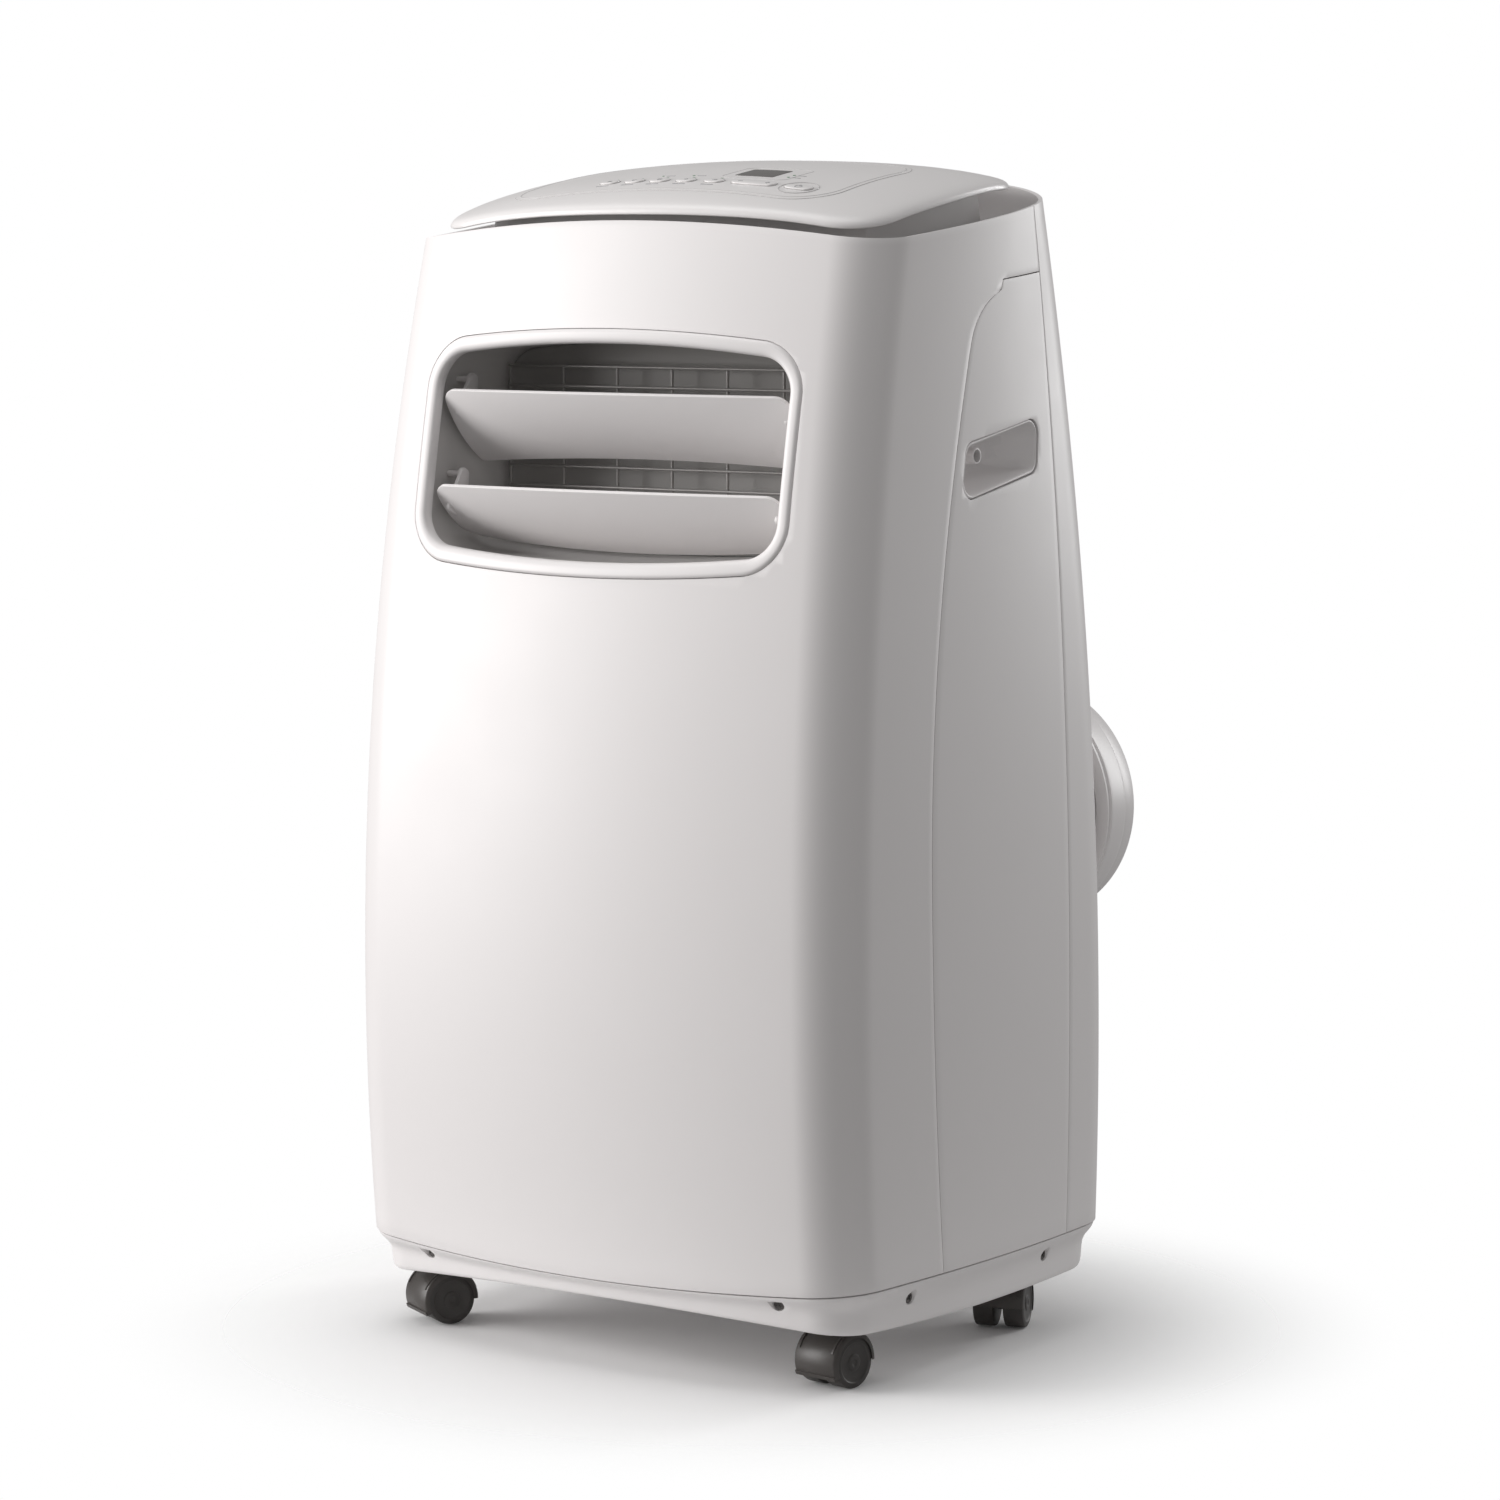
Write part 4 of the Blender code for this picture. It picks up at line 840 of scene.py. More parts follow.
def symbolFor(name):
    # plain generic signs: power, plus and minus, and five simple ones
    if name == "power_key":
        return [flatRing(0.0021, 0.0005, (0, -0.0002), (130, 410)), flatBar(0.0005, 0.0022, (0, 0.0016))]
    if name == "level_key":
        plus = [flatBar(0.0032, 0.0006, (0.0095, 0)), flatBar(0.0006, 0.0013, (0.0095, 0.00096)),
                flatBar(0.0006, 0.0013, (0.0095, -0.00096))]
        return plus + [flatBar(0.0032, 0.0006, (-0.0095, 0))]
    if name == "timer_key":
        return [flatRing(0.0015, 0.0004), flatBar(0.0003, 0.0008, (0, 0.0005))]
    if name == "sleep_key":
        return [flatRing(0.0014, 0.0004, (0, 0), (60, 300))]
    if name == "fan_key":
        return [flatBar(0.0030, 0.0004), flatBar(0.0004, 0.0012, (0, 0.0009)), flatBar(0.0004, 0.0012, (0, -0.0009))]
    if name == "swing_key":
        return [flatBar(0.0026, 0.0004, (0, 0.0008)), flatBar(0.0026, 0.0004), flatBar(0.0026, 0.0004, (0, -0.0008))]
    return [flatBar(0.0012, 0.0004, (-0.0009, 0)), flatRing(0.0009, 0.0003, (0.0009, 0))]


marks, lamps, edges = [], [], []
for name, (x, halfLength) in keys["sizes"].items():
    spot = onDome(x, keys["rowY"])
    key = pill(halfLength, keys["halfWidth"], 0.0, 0.0011, 0.0004)
    plainName = name.split("_")[0]
    stamp(key, spot, plainName + "Key")
    smoothOver(key, 40)
    keepPiece(key, name, "lid_white", lidFinish, name)
    symbol = stamp(joinAll(symbolFor(name), "symbol"), onDome(x, keys["rowY"], 0.00115), plainName + "Symbol")
    keepPiece(symbol, name, "grey_plastic", markFinish)
    if halfLength < 0.007:
        marks.append(stamp(flatBar(0.0085, 0.0011), onDome(x, keys["rowY"] - 0.0078, 0.00024), "label"))
        bpy.ops.mesh.primitive_cylinder_add(vertices=20, radius=0.0009, depth=0.0003)
        lamps.append(stamp(settle(bpy.context.object, "lamp"), onDome(x, keys["rowY"] + 0.0075, 0.0003), "lamp"))
for x, y in ((-0.012, 0.014), (0.010, 0.014), (0.0725, 0.026), (0.0725, 0.020)):
    marks.append(stamp(flatBar(0.0060, 0.0009), onDome(x, keys["rowY"] + y, 0.00024), "label"))
    bpy.ops.mesh.primitive_cylinder_add(vertices=20, radius=0.0009, depth=0.0003)
    lamps.append(stamp(settle(bpy.context.object, "lamp"), onDome(x - 0.0055, keys["rowY"] + y, 0.0003), "lamp"))
keepPiece(joinAll(marks, "keyLabels"), "cabinet", "grey_plastic", markFinish)
keepPiece(joinAll(lamps, "statusLamps"), "cabinet", "grey_plastic", lampFinish)
powerSpot = onDome(0.088, keys["rowY"], 0.00025)
edges.append(stamp(flatRing(0.0118, 0.0005, thick=0.0002, steps=64), powerSpot, "edge"))
keepPiece(joinAll(edges, "powerKeyRing"), "cabinet", "grey_plastic", lineFinish)

displayShape = {"corners": ((0.031, -0.040), (0.058, -0.040), (0.058, -0.019), (0.031, -0.019)), "corner": 0.0012}
displayCorners = [(x, y + shellBack) for x, y in displayShape["corners"]]
displayCentre = Vector((0.0445, -0.0295 + shellBack))
smoothOver(overlay, 34)
keepPiece(settle(overlay, "controlPanel"), "cabinet", "lid_white", lidFinish, "control_overlay")
lens = domePlate("displayLens", denser(roundCorners(displayCorners, displayShape["corner"], 5)), displayCentre,
                 (-panelShape["depth"] + 0.0003, 0.0004), 6)
smoothOver(lens, 34)
keepPiece(settle(lens, "displayLens"), "cabinet", "display_lens", lensFinish, "display_window")


def domeLine(name, outline, width, lift):
    # a fine printed line that follows a closed outline over the dome
    count = len(outline)
    spots = [Vector(point) for point in outline]
    sides = []
    for k in range(count):
        ahead = (spots[(k + 1) % count] - spots[k - 1]).normalized()
        sides.append(Vector((ahead.y, -ahead.x)) * width / 2)
    corners = ((-1, 0.0), (1, 0.0), (1, -0.0002), (-1, -0.0002), (-1, 0.0))

    def placeAt(column, corner):
        reach, drop = corners[corner]
        spot = spots[column % count] + sides[column % count] * reach
        return Vector((spot.x, spot.y, domeHeight(spot.x, spot.y) + lift + drop))

    return faceOut(patch(name, range(count + 1), range(5), placeAt))


printed = domeLine("panelOutline", denser(roundCorners(moveCorners(panelCorners, 0.0030), 0.027), 0.003), 0.00055, 0.00035)
inner = [(x, y + shellBack) for x, y in ((0.024, -0.046), (0.070, -0.046), (0.070, -0.012), (0.024, -0.012))]
around = domeLine("displayOutline", denser(roundCorners(inner, 0.006), 0.002), 0.0004, 0.00035)
keepPiece(joinAll([printed, around], "panelOutline"), "cabinet", "grey_plastic", lineFinish)
# painted shade: thin grey lines laid over the dome where the control panel and each key meet the lid
gapShades = [domeLine("gap", denser(roundCorners(panelCorners, panelShape["corner"]), 0.003), 0.0006, 0.00012)]
for x, halfLength in keys["sizes"].values():
    rim = keys["halfWidth"] + 0.0003
    straight = halfLength - keys["halfWidth"]
    arcs = [(math.pi * step / 16 - math.pi / 2, 1) for step in range(17)]
    arcs += [(math.pi * step / 16 + math.pi / 2, -1) for step in range(17)]
    around = [(x + side * straight + rim * math.cos(angle), keys["rowY"] + rim * math.sin(angle)) for angle, side in arcs]
    gapShades.append(domeLine("gap", around, 0.0006, 0.00032))
keepPiece(joinAll(gapShades, "panelGaps"), "cabinet", "grey_plastic", gapShadeFinish)
print("lid and controls ready")


# the outlet: bezel, duct, wire guard and two louvers


def loopPatch(name, rings):
    loops = [list(ring) + [ring[0]] for ring in rings]
    piece = patch(name, range(len(loops[0])), range(len(loops)), lambda column, row: Vector(loops[row][column]))
    return faceOut(piece)


def onFront(inset, back):
    return [(x, frontFace(x, z) + back, z) for x, z in outletOutline(inset)]


bezelProfile = [
    (0.0, 0.0055), (0.0, 0.0006), (0.0002, -0.0004), (0.0007, -0.0011), (0.0014, -0.0015), (0.0024, -0.0016),
    (0.0048, -0.0012), (0.0062, -0.0008), (0.0071, -0.0002), (0.0077, 0.0006), (0.0082, 0.0018), (0.0085, 0.0034),
    (0.0085, 0.0055), (0.0, 0.0055),
]
bezel = loopPatch("bezel", [onFront(inset, back) for inset, back in bezelProfile])
smoothOver(bezel, 42)
keepPiece(settle(bezel, "outletBezel"), "cabinet", "shell_white", shellFinish, "outlet_bezel")


def flatRingAt(inset, y):
    return [(x, y + shellBack, z) for x, z in outletOutline(inset)]


duct = loopPatch("duct", [
    onFront(-0.0002, 0.0058), flatRingAt(-0.0002, -0.050), flatRingAt(0.0075, -0.050), flatRingAt(0.0070, -0.082),
    flatRingAt(0.0040, -0.086), flatRingAt(0.0034, -0.104), onFront(0.0024, 0.0062), onFront(-0.0002, 0.0058)])
roundOff(duct, 0.0005, 2, 40)
smoothOver(duct, 42)
keepPiece(settle(duct, "outletDuct"), "cabinet", "grey_plastic", ductFinish, "outlet_duct")

guideCentre = (outlet["low"] + outlet["high"]) / 2
guide = loopPatch("guide", [
    [(0.0, shellBack - 0.0463, guideCentre)] * len(outletOutline(0.0)),
    flatRingAt(0.0265, -0.0465), flatRingAt(0.0180, -0.0475), flatRingAt(0.0090, -0.0505), flatRingAt(0.0078, -0.0525),
    flatRingAt(0.0078, -0.0450), [(0.0, shellBack - 0.0450, guideCentre)] * len(outletOutline(0.0))])
smoothOver(guide, 42)
keepPiece(settle(guide, "airGuide"), "cabinet", "grey_plastic", guideFinish)

guard = {"y": -0.060, "middle": 0.5292, "width": 0.238, "height": 0.0945, "wire": 0.0009, "levels": 8, "posts": 6}
guardWires = []
for k in range(guard["levels"] + 1):
    z = guard["middle"] + guard["height"] * (k / guard["levels"] - 0.5)
    guardWires.append(drum(guard["wire"], -guard["width"] / 2, guard["width"] / 2, (guard["y"] + shellBack, z), "X", 10))
for k in range(guard["posts"] + 1):
    x = guard["width"] * (k / guard["posts"] - 0.5)
    low = guard["middle"] - guard["height"] / 2
    spot = (x, guard["y"] + shellBack + 0.0012)
    guardWires.append(drum(guard["wire"], low, low + guard["height"], spot, "Z", 10))
keepPiece(smoothOver(joinAll(guardWires, "wireGuard"), 40), "cabinet", "bare_steel", wireFinish, "wire_guard")

louvers = {
    "pivots": {"upper_louver": (-0.096, 0.569), "lower_louver": (-0.105, 0.5135)},
    "half": 0.1232,
    "corner": 0.009,
    "sheet": 0.0024,
    "blades": {"upper_louver": (0.0, 0.004, 0.002), "lower_louver": (0.012, -0.0065, 0.016)},
    "arm": ((-0.018, -0.020), (0.000, -0.028), (0.0030, 0.0028), (-0.0034, 0.0028)),
}


def cornerPull(radius, fromEdge):
    inside = max(0.0, radius - fromEdge)
    return radius - math.sqrt(radius**2 - inside**2)


def bladePlace(cut, arch, backCorner):
    frontEdge, backEdge = Vector((-0.0310, -0.0055)), Vector((0.0160, -0.0480 + cut))
    run = frontEdge - backEdge
    bulge = Vector((-run.y, run.x)).normalized() * 0.0045

    def placeAt(across, share):
        middle = backEdge.lerp(frontEdge, share) + bulge * (4 * share * (1 - share))
        pull = cornerPull(louvers["corner"], run.length * (1 - share)) + cornerPull(backCorner, run.length * share)
        x = (louvers["half"] - pull) * across
        plan = 0.009 * (x / louvers["half"]) ** 2 * share
        lift = arch * (1 - (x / louvers["half"]) ** 2) * (1 - share)
        return Vector((x, middle.x + plan, middle.y + lift))

    return placeAt


for name, (y, z) in louvers["pivots"].items():
    shares = [0, 0.006, 0.015, 0.03, 0.05, 0.075, 0.105, 0.14, 0.18, 0.225, 0.275] + spread(0.33, 0.8, 16) + [0.83, 0.86, 0.89, 0.915, 0.935, 0.955, 0.97, 0.982, 0.992, 1.0]
    blade = patch(name, spread(-1, 1, 72), shares, bladePlace(*louvers["blades"][name]))
    giveWall(blade, louvers["sheet"], 0.0)
    faceOut(blade)
    roundOff(blade, 0.00105, 4, 50)
    blade.location = (0, y + shellBack, z)
    settle(blade, "blade")
    smoothOver(blade, 50)
    label = name.replace("_louver", "Louver")
    keepPiece(settle(blade, label), name, "shell_white", shellFinish, name)
    fittings = []
    for side in (1, -1):
        inner, outer = sorted((side * 0.1163, side * 0.1189))
        arm = [(a + y + shellBack, b + z) for a, b in roundCorners(louvers["arm"], 0.003, 6)]
        fittings.append(roundOff(slab(arm, inner, outer, "X"), 0.0004, 2, 50))
        low, high = sorted((side * 0.1170, side * 0.1298))
        fittings.append(drum(0.0018, low, high, (y + shellBack, z), "X", 28, 0.0003))
        low, high = sorted((side * 0.1180, side * 0.1205))
        fittings.append(drum(0.0036, low, high, (y + shellBack, z), "X", 32, 0.0005))
    arms = smoothOver(joinAll(fittings, label + "Arms"), 40)
    keepPiece(arms, name, "shell_white", shellFinish)
print("outlet ready")


# hand pockets in the sides

pocketProfile = [
    (-0.0060, 0.0034), (0.0004, 0.0034), (0.0004, 0.0010), (0.0007, 0.0006), (0.0012, 0.0005), (0.0018, 0.0009),
    (0.0023, 0.0022), (0.0030, 0.0080), (0.0038, 0.0160), (0.0048, 0.0205), (0.0062, 0.0235), (0.0080, 0.0252),
    (0.0096, 0.0256),
]
boss = {"at": (0.0045, 0.5275), "radius": 0.0048, "bore": 0.0037, "deep": 0.0085}


def sideFace(y, z):
    depth = y - shellBack
    return fall(cabinet["width"], z) - cabinet["sideCrown"] * (depth / fall(cabinet["back"], z)) ** 2


def pocketRing(inset, deep, side):
    # the rear wall is a ramp, so the hand slides in from behind
    corner = max(0.0045, handle["corner"] - inset * 0.4)
    middle = sum(y for y, _ in handleCorners) / 4
    ring = []
    for y, z in roundCorners(moveCorners(handleCorners, inset), corner, 12):
        ramp = handle["ramp"] * (deep / 0.0256) ** 1.6 * max(0.0, y - middle) / 0.042
        ring.append((side * (sideFace(y, z) - deep), y - ramp, z))
    return ring


for side, label in ((1, "right"), (-1, "left")):
    inside = [pocketRing(inset, deep, side) for inset, deep in pocketProfile]
    middle = sum((Vector(spot) for spot in inside[-1]), Vector()) / len(inside[-1])
    inside.append([tuple(middle)] * len(inside[-1]))
    outside = [[tuple(middle - Vector((side * 0.002, 0, 0)))] * len(inside[-1])]
    outside += [pocketRing(0.0050, 0.0276, side), pocketRing(-0.0016, 0.0054, side),
                pocketRing(-0.0060, 0.0054, side), inside[0]]
    cup = loopPatch("pocket", inside + outside)
    smoothOver(cup, 42)
    keepPiece(settle(cup, label + "HandPocket"), "cabinet", "shell_white", shellFinish, label + "_handle_cup")
    bossSpot = (boss["at"][0] + shellBack, boss["at"][1])
    bossTop = sideFace(*bossSpot) - boss["deep"]
    low, high = sorted((side * (sideFace(*bossSpot) - 0.0262), side * bossTop))
    post = drum(boss["radius"], low, high, bossSpot, "X", 48, 0.0008)
    low, high = sorted((side * (bossTop - 0.0055), side * (bossTop + 0.004)))
    cutWith(post, drum(boss["bore"], low, high, bossSpot, "X", 40))
    smoothOver(post, 40)
    keepPiece(settle(post, label + "PocketBoss"), "cabinet", "shell_white", shellFinish)
    low, high = sorted((side * (bossTop - 0.0060), side * (bossTop - 0.0040)))
    head = drum(0.0032, low, high, bossSpot, "X", 32, 0.0004)
    keepPiece(smoothOver(settle(head, label + "PocketScrew"), 40), "cabinet", "bare_steel", screwFinish)
print("hand pockets ready")


# casters: a hood over two wheels, with a closed barrel face at the back of each

caster = {
    "wheel": 0.015,
    "hood": 0.0176,
    "half": 0.016,
    "wall": 0.0016,
    "trail": 0.013,
    "stemFoot": 0.0303,
    "headings": {"front_left": 152, "front_right": 172, "rear_left": 35, "rear_right": 20},
    "pivots": {"front_left": (-0.142, -0.082), "front_right": (0.142, -0.082),
               "rear_left": (-0.142, 0.077), "rear_right": (0.142, 0.077)},
}


def hoodPlace(station, row):
    # rows run out along the outside and back along the inside, and stations run round the arc
    shoulder = ((1.0, 0.0030), (0.985, 0.0014), (0.95, 0.0005), (0.90, 0.0))
    outer = [(reach, drop) for reach, drop in shoulder] + [(-reach, drop) for reach, drop in shoulder[::-1]]
    inner = [(-1.0, 0.0034), (-0.90, caster["wall"]), (0.90, caster["wall"]), (1.0, 0.0034)]
    reach, drop = (outer + inner + outer[:1])[row]
    angle = math.radians(station)
    radius = caster["hood"] - drop
    return Vector((caster["half"] * reach, caster["trail"] + radius * math.cos(angle),
                   caster["wheel"] + radius * math.sin(angle)))


def closeEnds(piece):
    pickOnly(piece)
    bpy.ops.object.mode_set(mode="EDIT")
    bpy.ops.mesh.select_all(action="SELECT")
    bpy.ops.mesh.remove_doubles(threshold=0.00001)
    bpy.ops.mesh.select_all(action="DESELECT")
    bpy.ops.mesh.select_mode(type="EDGE")
    bpy.ops.mesh.select_non_manifold(extend=False)
    bpy.ops.mesh.edge_face_add()
    bpy.ops.mesh.select_all(action="SELECT")
    bpy.ops.mesh.normals_make_consistent(inside=False)
    bpy.ops.object.mode_set(mode="OBJECT")
    return piece


def arcBand(name, radius, thickness, low, high, start, end):
    corners = ((low, radius), (high, radius), (high, radius - thickness), (low, radius - thickness), (low, radius))

    def placeAt(station, corner):
        x, reach = corners[corner]
        angle = math.radians(station)
        return Vector((x, caster["trail"] + reach * math.cos(angle), caster["wheel"] + reach * math.sin(angle)))

    return closeEnds(patch(name, spread(start, end, 48), range(5), placeAt))


wheelProfile = [
    (0.0, 0.0030), (0.0060, 0.0030), (0.0140, 0.0030), (0.0147, 0.0033), (0.0150, 0.0040), (0.0150, 0.0142),
    (0.0147, 0.0150), (0.0140, 0.0154), (0.0118, 0.0155), (0.0112, 0.0151), (0.0106, 0.0149), (0.0052, 0.0149),
    (0.0048, 0.0153), (0.0042, 0.0155), (0.0022, 0.0155), (0.0018, 0.0152), (0.0, 0.0151),
]
for place, (pivotX, pivotY) in caster["pivots"].items():
    turn = Matrix.Translation((pivotX, pivotY + shellBack, 0))
    turn @= Matrix.Rotation(math.radians(caster["headings"][place]), 4, "Z")
    centre = (caster["trail"], caster["wheel"])
    hood = closeEnds(patch("hood", spread(-28, 182, 72), range(13), hoodPlace))
    roundOff(hood, 0.0004, 2, 60)
    web = [(caster["trail"] + 0.0168 * math.cos(math.radians(a)), caster["wheel"] + 0.0168 * math.sin(math.radians(a)))
           for a in spread(-24, 178, 40)]
    rest = [
        slab(web, -0.0022, 0.0022, "X"),
        drum(0.0050, -0.0022, 0.0022, centre, "X", 40),
        drum(0.0050, caster["stemFoot"], 0.046, (0, 0), "Z", 40),
        drum(0.0082, 0.0290, 0.0334, (0, 0), "Z", 48, 0.0006),
        arcBand("rib", caster["hood"] + 0.0005, 0.0012, -0.0135, -0.0120, 24, 160),
        arcBand("rib", caster["hood"] + 0.0005, 0.0012, 0.0120, 0.0135, 24, 160),
        arcBand("foot", caster["hood"] + 0.0007, 0.0014, -0.0150, 0.0150, -28, -20),
    ]
    hood = joinAll([hood] + rest, "hood")
    hood.matrix_world = turn
    label = place.replace("_l", "L").replace("_r", "R")
    settle(hood, label + "Hood")
    smoothOver(hood, 42)
    keepPiece(hood, place + "_caster", "dark_plastic", casterFinish, place + "_hood")
    for side, part in ((1, "outer"), (-1, "inner")):
        wheel = turned("wheel", [(radius, side * along) for radius, along in wheelProfile], (0, 0, 0), "X", 64)
        wheel.location = (0, *centre)
        settle(wheel, "wheel")
        wheel.matrix_world = turn
        settle(wheel, label + part.capitalize() + "Wheel")
        smoothOver(wheel, 35)
        keepPiece(wheel, f"{place}_{part}_wheel", "dark_plastic", wheelFinish, f"{place}_{part}_wheel")
print("casters ready")


# what is fastened to the back

adaptorX, adaptorZ = rear["adaptor"]
skinY = backFace(adaptorX, adaptorZ)
radius = rear["adaptorRadius"]
end = 0.205 + shellBack - skinY
adaptor = turned("adaptor", [
    (radius - 0.0040, 0.0046), (radius + 0.0034, 0.0046), (radius + 0.0040, 0.0050), (radius + 0.0040, 0.0066),
    (radius + 0.0034, 0.0072), (radius + 0.0014, 0.0074), (radius + 0.0010, 0.0082), (radius + 0.0009, 0.0130),
    (radius + 0.0019, 0.0136), (radius + 0.0019, 0.0150), (radius + 0.0008, 0.0156), (radius, end - 0.0150),
    (radius - 0.0003, end - 0.0138), (radius - 0.0019, end - 0.0124), (radius - 0.0020, end - 0.0008),
    (radius - 0.0025, end), (radius - 0.0035, end), (radius - 0.0040, end - 0.0006), (radius - 0.0040, 0.0046),
], (adaptorX, skinY, adaptorZ), "Y", 144)
smoothOver(adaptor, 42)
keepPiece(settle(adaptor, "exhaustAdaptor"), "exhaust_adaptor", "shell_white", shellFinish, "exhaust_adaptor")
catches = []
for step in range(4):
    angle = math.radians(45 + 90 * step)
    catch = block((-0.007, 0.0076, radius + 0.0002), (0.007, 0.0128, radius + 0.0034), 0.0008)
    catch.matrix_world = Matrix.Translation((adaptorX, skinY, adaptorZ)) @ Matrix.Rotation(angle, 4, "Y")
    catches.append(settle(catch, "catch"))
keepPiece(smoothOver(joinAll(catches, "adaptorCatches"), 40), "exhaust_adaptor", "shell_white", shellFinish)

collar = turned("collar", [
    (radius - 0.0044, -0.030), (radius - 0.0044, 0.0114), (radius - 0.0050, 0.012), (radius - 0.0066, 0.012),
    (radius - 0.0072, 0.0114), (radius - 0.0072, -0.030), (radius - 0.0044, -0.030),
], (adaptorX, skinY, adaptorZ), "Y", 128)
smoothOver(collar, 42)
# painted shade: the collar inside the exhaust opening takes the white plastic made grey
keepPiece(settle(collar, "exhaustCollar"), "cabinet", "inner_white", innerShadedFinish, "exhaust_collar")


def slottedCover(name, corners, slots, body, replaced):
    low, high = corners[0][1], corners[2][1]
    half = max(abs(x) for x, _ in corners)
    cover = patch(name, spread(half, -half, 64), spread(low, high, 56), lambda x, z: Vector((x, backFace(x, z), z)))
    giveWall(cover, 0.002)
    outline = roundCorners(moveCorners(corners, 0.0006), rear["openCorner"])
    cutWith(cover, slab(outline, 0.02, 0.24), "INTERSECT")
    pitch = (high - low - 0.024) / slots
    cutters = []
    for side in (-1, 1):
        for k in range(slots):
            z = low + 0.012 + pitch * (k + 0.5)
            x = side * half * 0.47
            bar = roundCorners(((x - half * 0.43, z - pitch / 4), (x + half * 0.43, z - pitch / 4),
                                (x + half * 0.43, z + pitch / 4), (x - half * 0.43, z + pitch / 4)), pitch * 0.18, 6)
            cutters.append(slab(bar, 0.04, 0.22))
    cutWith(cover, joinAll(cutters, "slots"))
    roundOff(cover, 0.0004, 2, 50)
    smoothOver(cover, 32)
    keepPiece(settle(cover, name), body, "shell_white", shellFinish, replaced)
    # narrow blades halfway up each slot
    blades = []
    for side in (-1, 1):
        for k in range(slots):
            z = low + 0.012 + pitch * (k + 0.5)
            depth = backFace(side * half * 0.47, z) - 0.0022
            x = side * half * 0.47
            blades.append(block((x - half * 0.432, depth - 0.006, z - 0.0007), (x + half * 0.432, depth + 0.0006, z + 0.0007),
                                0.0003, 2))
    keepPiece(smoothOver(joinAll(blades, name + "Blades"), 40), body, "shell_white", shellFinish)


slottedCover("intakeCover", rear["filter"], 7, "intake_panel", "intake_cover")
slottedCover("lowerGrille", rear["grille"], 4, "cabinet", "lower_grille")
finger = []
for side in (-1, 1):
    x, z = side * 0.095, 0.6225
    finger.append(block((x - 0.011, backFace(x, z) - 0.0008, z - 0.0022), (x + 0.011, backFace(x, z) + 0.0022, z + 0.0022), 0.0010))
keepPiece(smoothOver(joinAll(finger, "intakeTabs"), 40), "intake_panel", "shell_white", shellFinish)

drainX, drainZ = rear["drain"]
drain = turned("drain", [
    (0.0, 0.0065), (0.0060, 0.0064), (0.0088, 0.0060), (0.0100, 0.0050), (0.0105, 0.0037), (0.0105, 0.0018),
    (0.0101, 0.0014), (0.0082, 0.0014), (0.0082, -0.0112), (0.0074, -0.012), (0.0, -0.012),
], (drainX, backFace(drainX, drainZ), drainZ), "Y", 64)
smoothOver(drain, 42)
keepPiece(settle(drain, "drainPlug"), "drain_plug", "grey_plastic", greyFinish, "drain_plug")
spotY = backFace(drainX, drainZ) + 0.0062
grip = block((drainX - 0.0075, spotY, drainZ - 0.0011), (drainX + 0.0075, spotY + 0.0024, drainZ + 0.0011), 0.0008)
keepPiece(smoothOver(settle(grip, "drainGrip"), 40), "drain_plug", "grey_plastic", greyFinish)

glandX, glandZ = rear["gland"]
gland = turned("gland", [
    (0.0045, -0.008), (0.0045, 0.0096), (0.0049, 0.0101), (0.0058, 0.0098), (0.0063, 0.0088), (0.0067, 0.0076),
    (0.0062, 0.0070), (0.0070, 0.0060), (0.0066, 0.0054), (0.0078, 0.0038), (0.0093, 0.0030), (0.0096, 0.0024),
    (0.0096, 0.0014), (0.0092, 0.0010), (0.0068, 0.0010), (0.0068, -0.008), (0.0045, -0.008),
], (glandX, backFace(glandX, glandZ), glandZ), "Y", 56)
smoothOver(gland, 42)
keepPiece(settle(gland, "cordGland"), "cabinet", "dark_plastic", casterFinish, "cord_gland")

backScrews = []
for x, z in ((-0.150, 0.225), (0.150, 0.225), (-0.146, 0.392), (0.146, 0.392), (-0.138, 0.640), (0.138, 0.640),
             (-0.030, 0.385), (-0.030, 0.225)):
    y = backFace(x, z)
    if abs(x) > 0.13:
        continue
    head = drum(0.0036, y - 0.0004, y + 0.0009, (x, z), "Y", 32, 0.0005)
    for low, high in (((x - 0.0021, z - 0.00045), (x + 0.0021, z + 0.00045)), ((x - 0.00045, z - 0.0021), (x + 0.00045, z + 0.0021))):
        cutWith(head, block((low[0], y + 0.0002, low[1]), (high[0], y + 0.002, high[1])))
    backScrews.append(head)
keepPiece(smoothOver(joinAll(backScrews, "backScrews"), 40), "cabinet", "bare_steel", screwFinish)
print("back fittings ready")


# floor, light and camera

studio = {
    "target": (0.0, -0.02125, 0.3487),
    "azimuth": 35.3735,
    "elevation": 6.0295,
    "distance": 2.9188,
    "lens": 117.44,
    "shift": (0.01287, -0.00093),
    "keyPower": 102.0,
    "fillPower": 3.0,
    "rimPower": 30.0,
    "topPower": 15.0,
    "worldLight": 0.25,
}
bpy.ops.mesh.primitive_circle_add(vertices=128, radius=3.2, fill_type="NGON", location=(0, 0, -0.0004))
floor = bpy.context.object
floor.name = "floor"
floorFinish = bpy.data.materials.new("paleFloor")
floorFinish.use_nodes = True
tree = floorFinish.node_tree
shader = tree.nodes["Principled BSDF"]
shader.inputs["Base Color"].default_value = (0.93, 0.93, 0.93, 1)
shader.inputs["Roughness"].default_value = 0.75
shader.inputs["Specular IOR Level"].default_value = 0.2
where = tree.nodes.new("ShaderNodeTexCoord")
reach = tree.nodes.new("ShaderNodeVectorMath")
reach.operation = "LENGTH"
fade = tree.nodes.new("ShaderNodeMapRange")
fade.interpolation_type = "SMOOTHSTEP"
fade.inputs["From Min"].default_value = 0.16
fade.inputs["From Max"].default_value = 0.40
fade.inputs["To Min"].default_value = 1.0
fade.inputs["To Max"].default_value = 0.0
tree.links.new(where.outputs["Object"], reach.inputs[0])
tree.links.new(reach.outputs["Value"], fade.inputs["Value"])
tree.links.new(fade.outputs["Result"], shader.inputs["Alpha"])
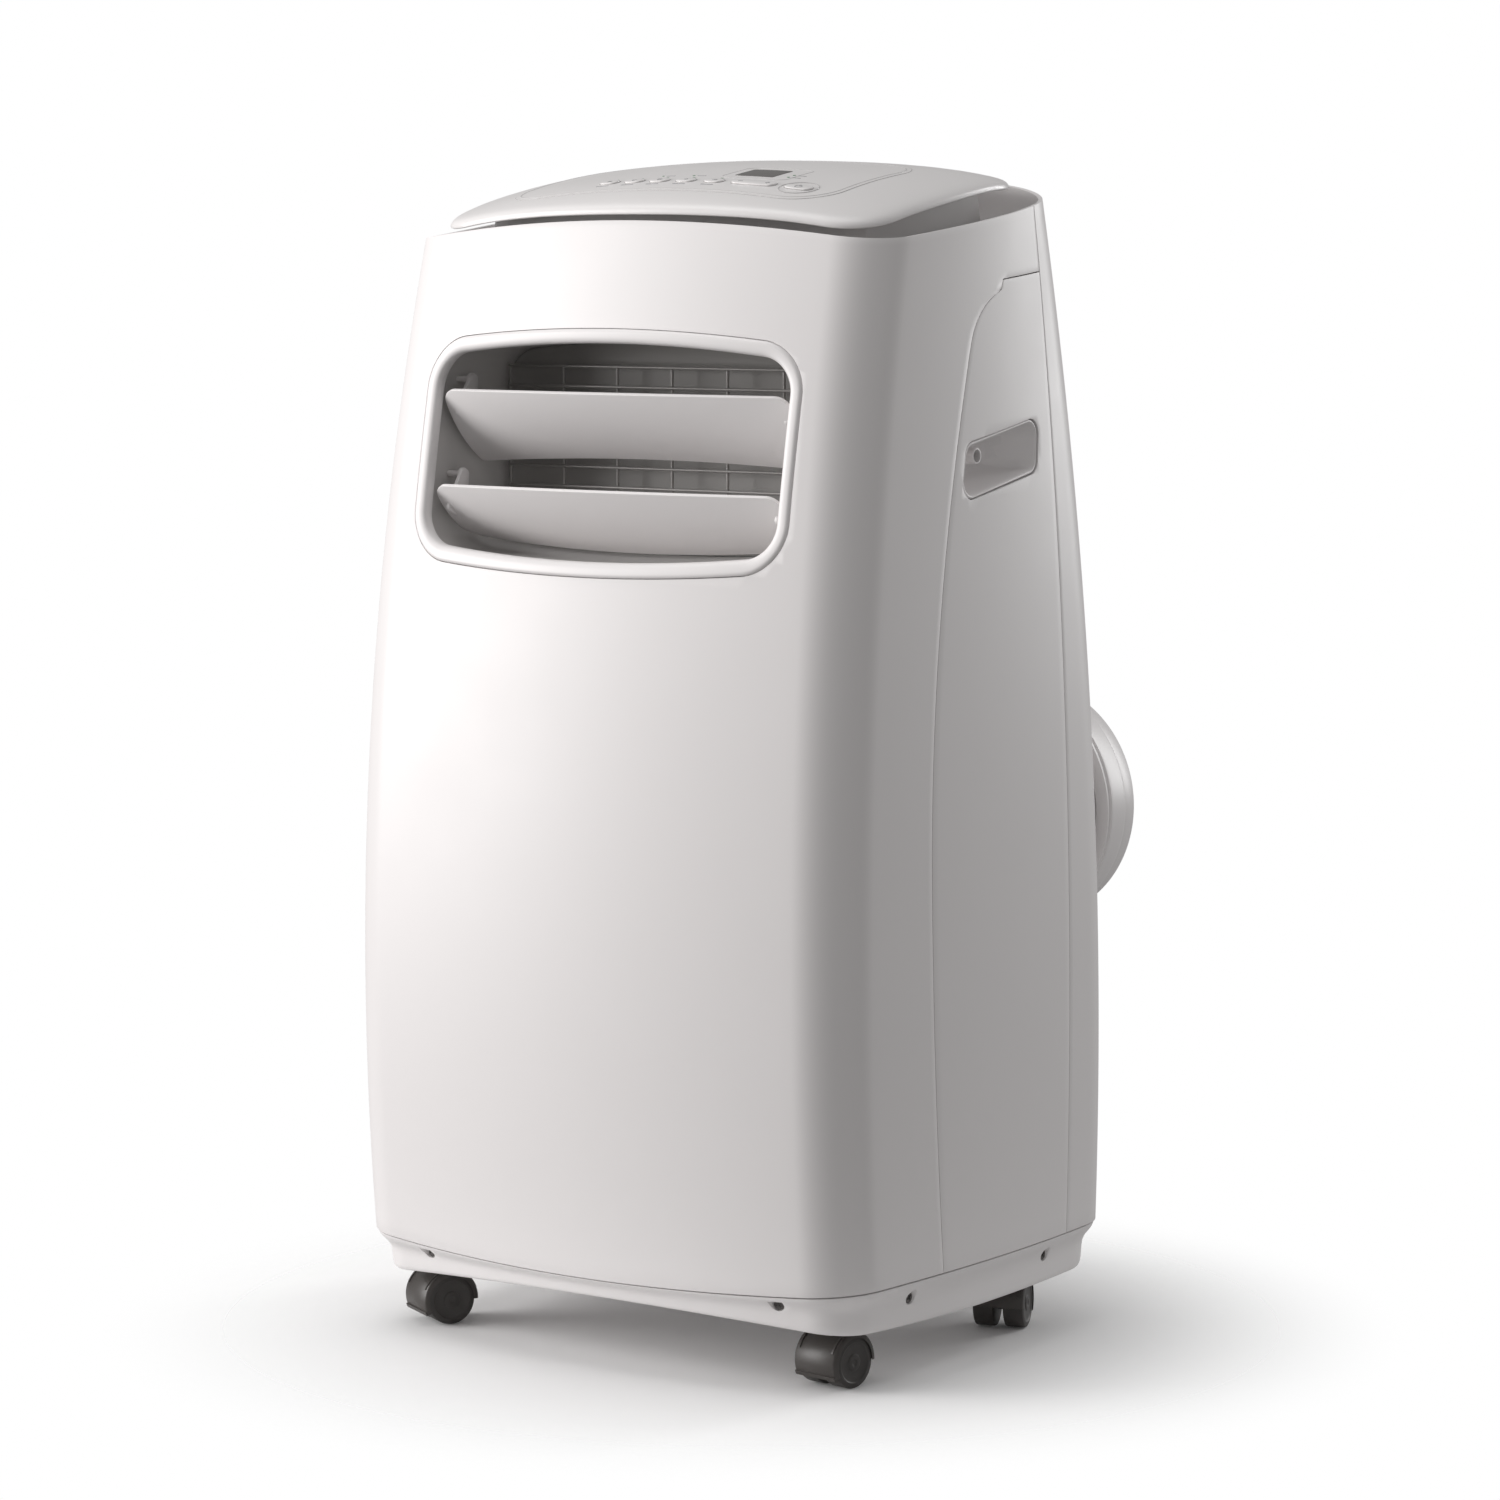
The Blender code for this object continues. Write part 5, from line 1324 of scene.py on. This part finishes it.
floor.data.materials.append(floorFinish)

world = bpy.data.worlds.new("studio")
bpy.context.scene.world = world
world.use_nodes = True
tree = world.node_tree
light = tree.nodes["Background"]
light.inputs["Color"].default_value = (1.0, 0.99, 0.985, 1)
light.inputs["Strength"].default_value = studio["worldLight"]
seen = tree.nodes.new("ShaderNodeBackground")
seen.inputs["Color"].default_value = (1, 1, 1, 1)
seen.inputs["Strength"].default_value = 1.0
path = tree.nodes.new("ShaderNodeLightPath")
either = tree.nodes.new("ShaderNodeMixShader")
tree.links.new(path.outputs["Is Camera Ray"], either.inputs["Fac"])
tree.links.new(light.outputs["Background"], either.inputs[1])
tree.links.new(seen.outputs["Background"], either.inputs[2])
tree.links.new(either.outputs["Shader"], tree.nodes["World Output"].inputs["Surface"])


def addLight(name, place, size, power, colour=(1, 1, 1), aim=(0, 0, 0.36)):
    bpy.ops.object.light_add(type="AREA", location=place)
    lamp = bpy.context.object
    lamp.name = name
    lamp.data.shape = "RECTANGLE"
    lamp.data.size, lamp.data.size_y = size
    lamp.data.energy = power
    lamp.data.color = colour
    lamp.rotation_euler = (Vector(aim) - Vector(place)).to_track_quat("-Z", "Y").to_euler()
    return lamp


addLight("keyLight", (-2.5, -2.0, 1.05), (1.8, 2.2), studio["keyPower"], (1.0, 0.985, 0.98))
addLight("topLight", (-0.3, -0.4, 2.4), (1.6, 1.6), studio["topPower"])
addLight("rimLight", (1.0, 2.6, 1.2), (0.5, 1.8), studio["rimPower"])
addLight("fillLight", (2.4, -1.6, 0.7), (1.2, 1.2), studio["fillPower"])

azimuth, elevation = math.radians(studio["azimuth"]), math.radians(studio["elevation"])
target = Vector(studio["target"])
toCamera = Vector((math.sin(azimuth) * math.cos(elevation), -math.cos(azimuth) * math.cos(elevation), math.sin(elevation)))
bpy.ops.object.camera_add(location=target + toCamera * studio["distance"])
camera = bpy.context.object
camera.rotation_euler = (-toCamera).to_track_quat("-Z", "Y").to_euler()
camera.data.lens = studio["lens"]
camera.data.sensor_width = 36.0
camera.data.shift_x, camera.data.shift_y = studio["shift"]
bpy.context.scene.camera = camera
bpy.context.scene.view_settings.view_transform = "Standard"
bpy.context.scene.view_settings.look = "None"
print("studio ready")
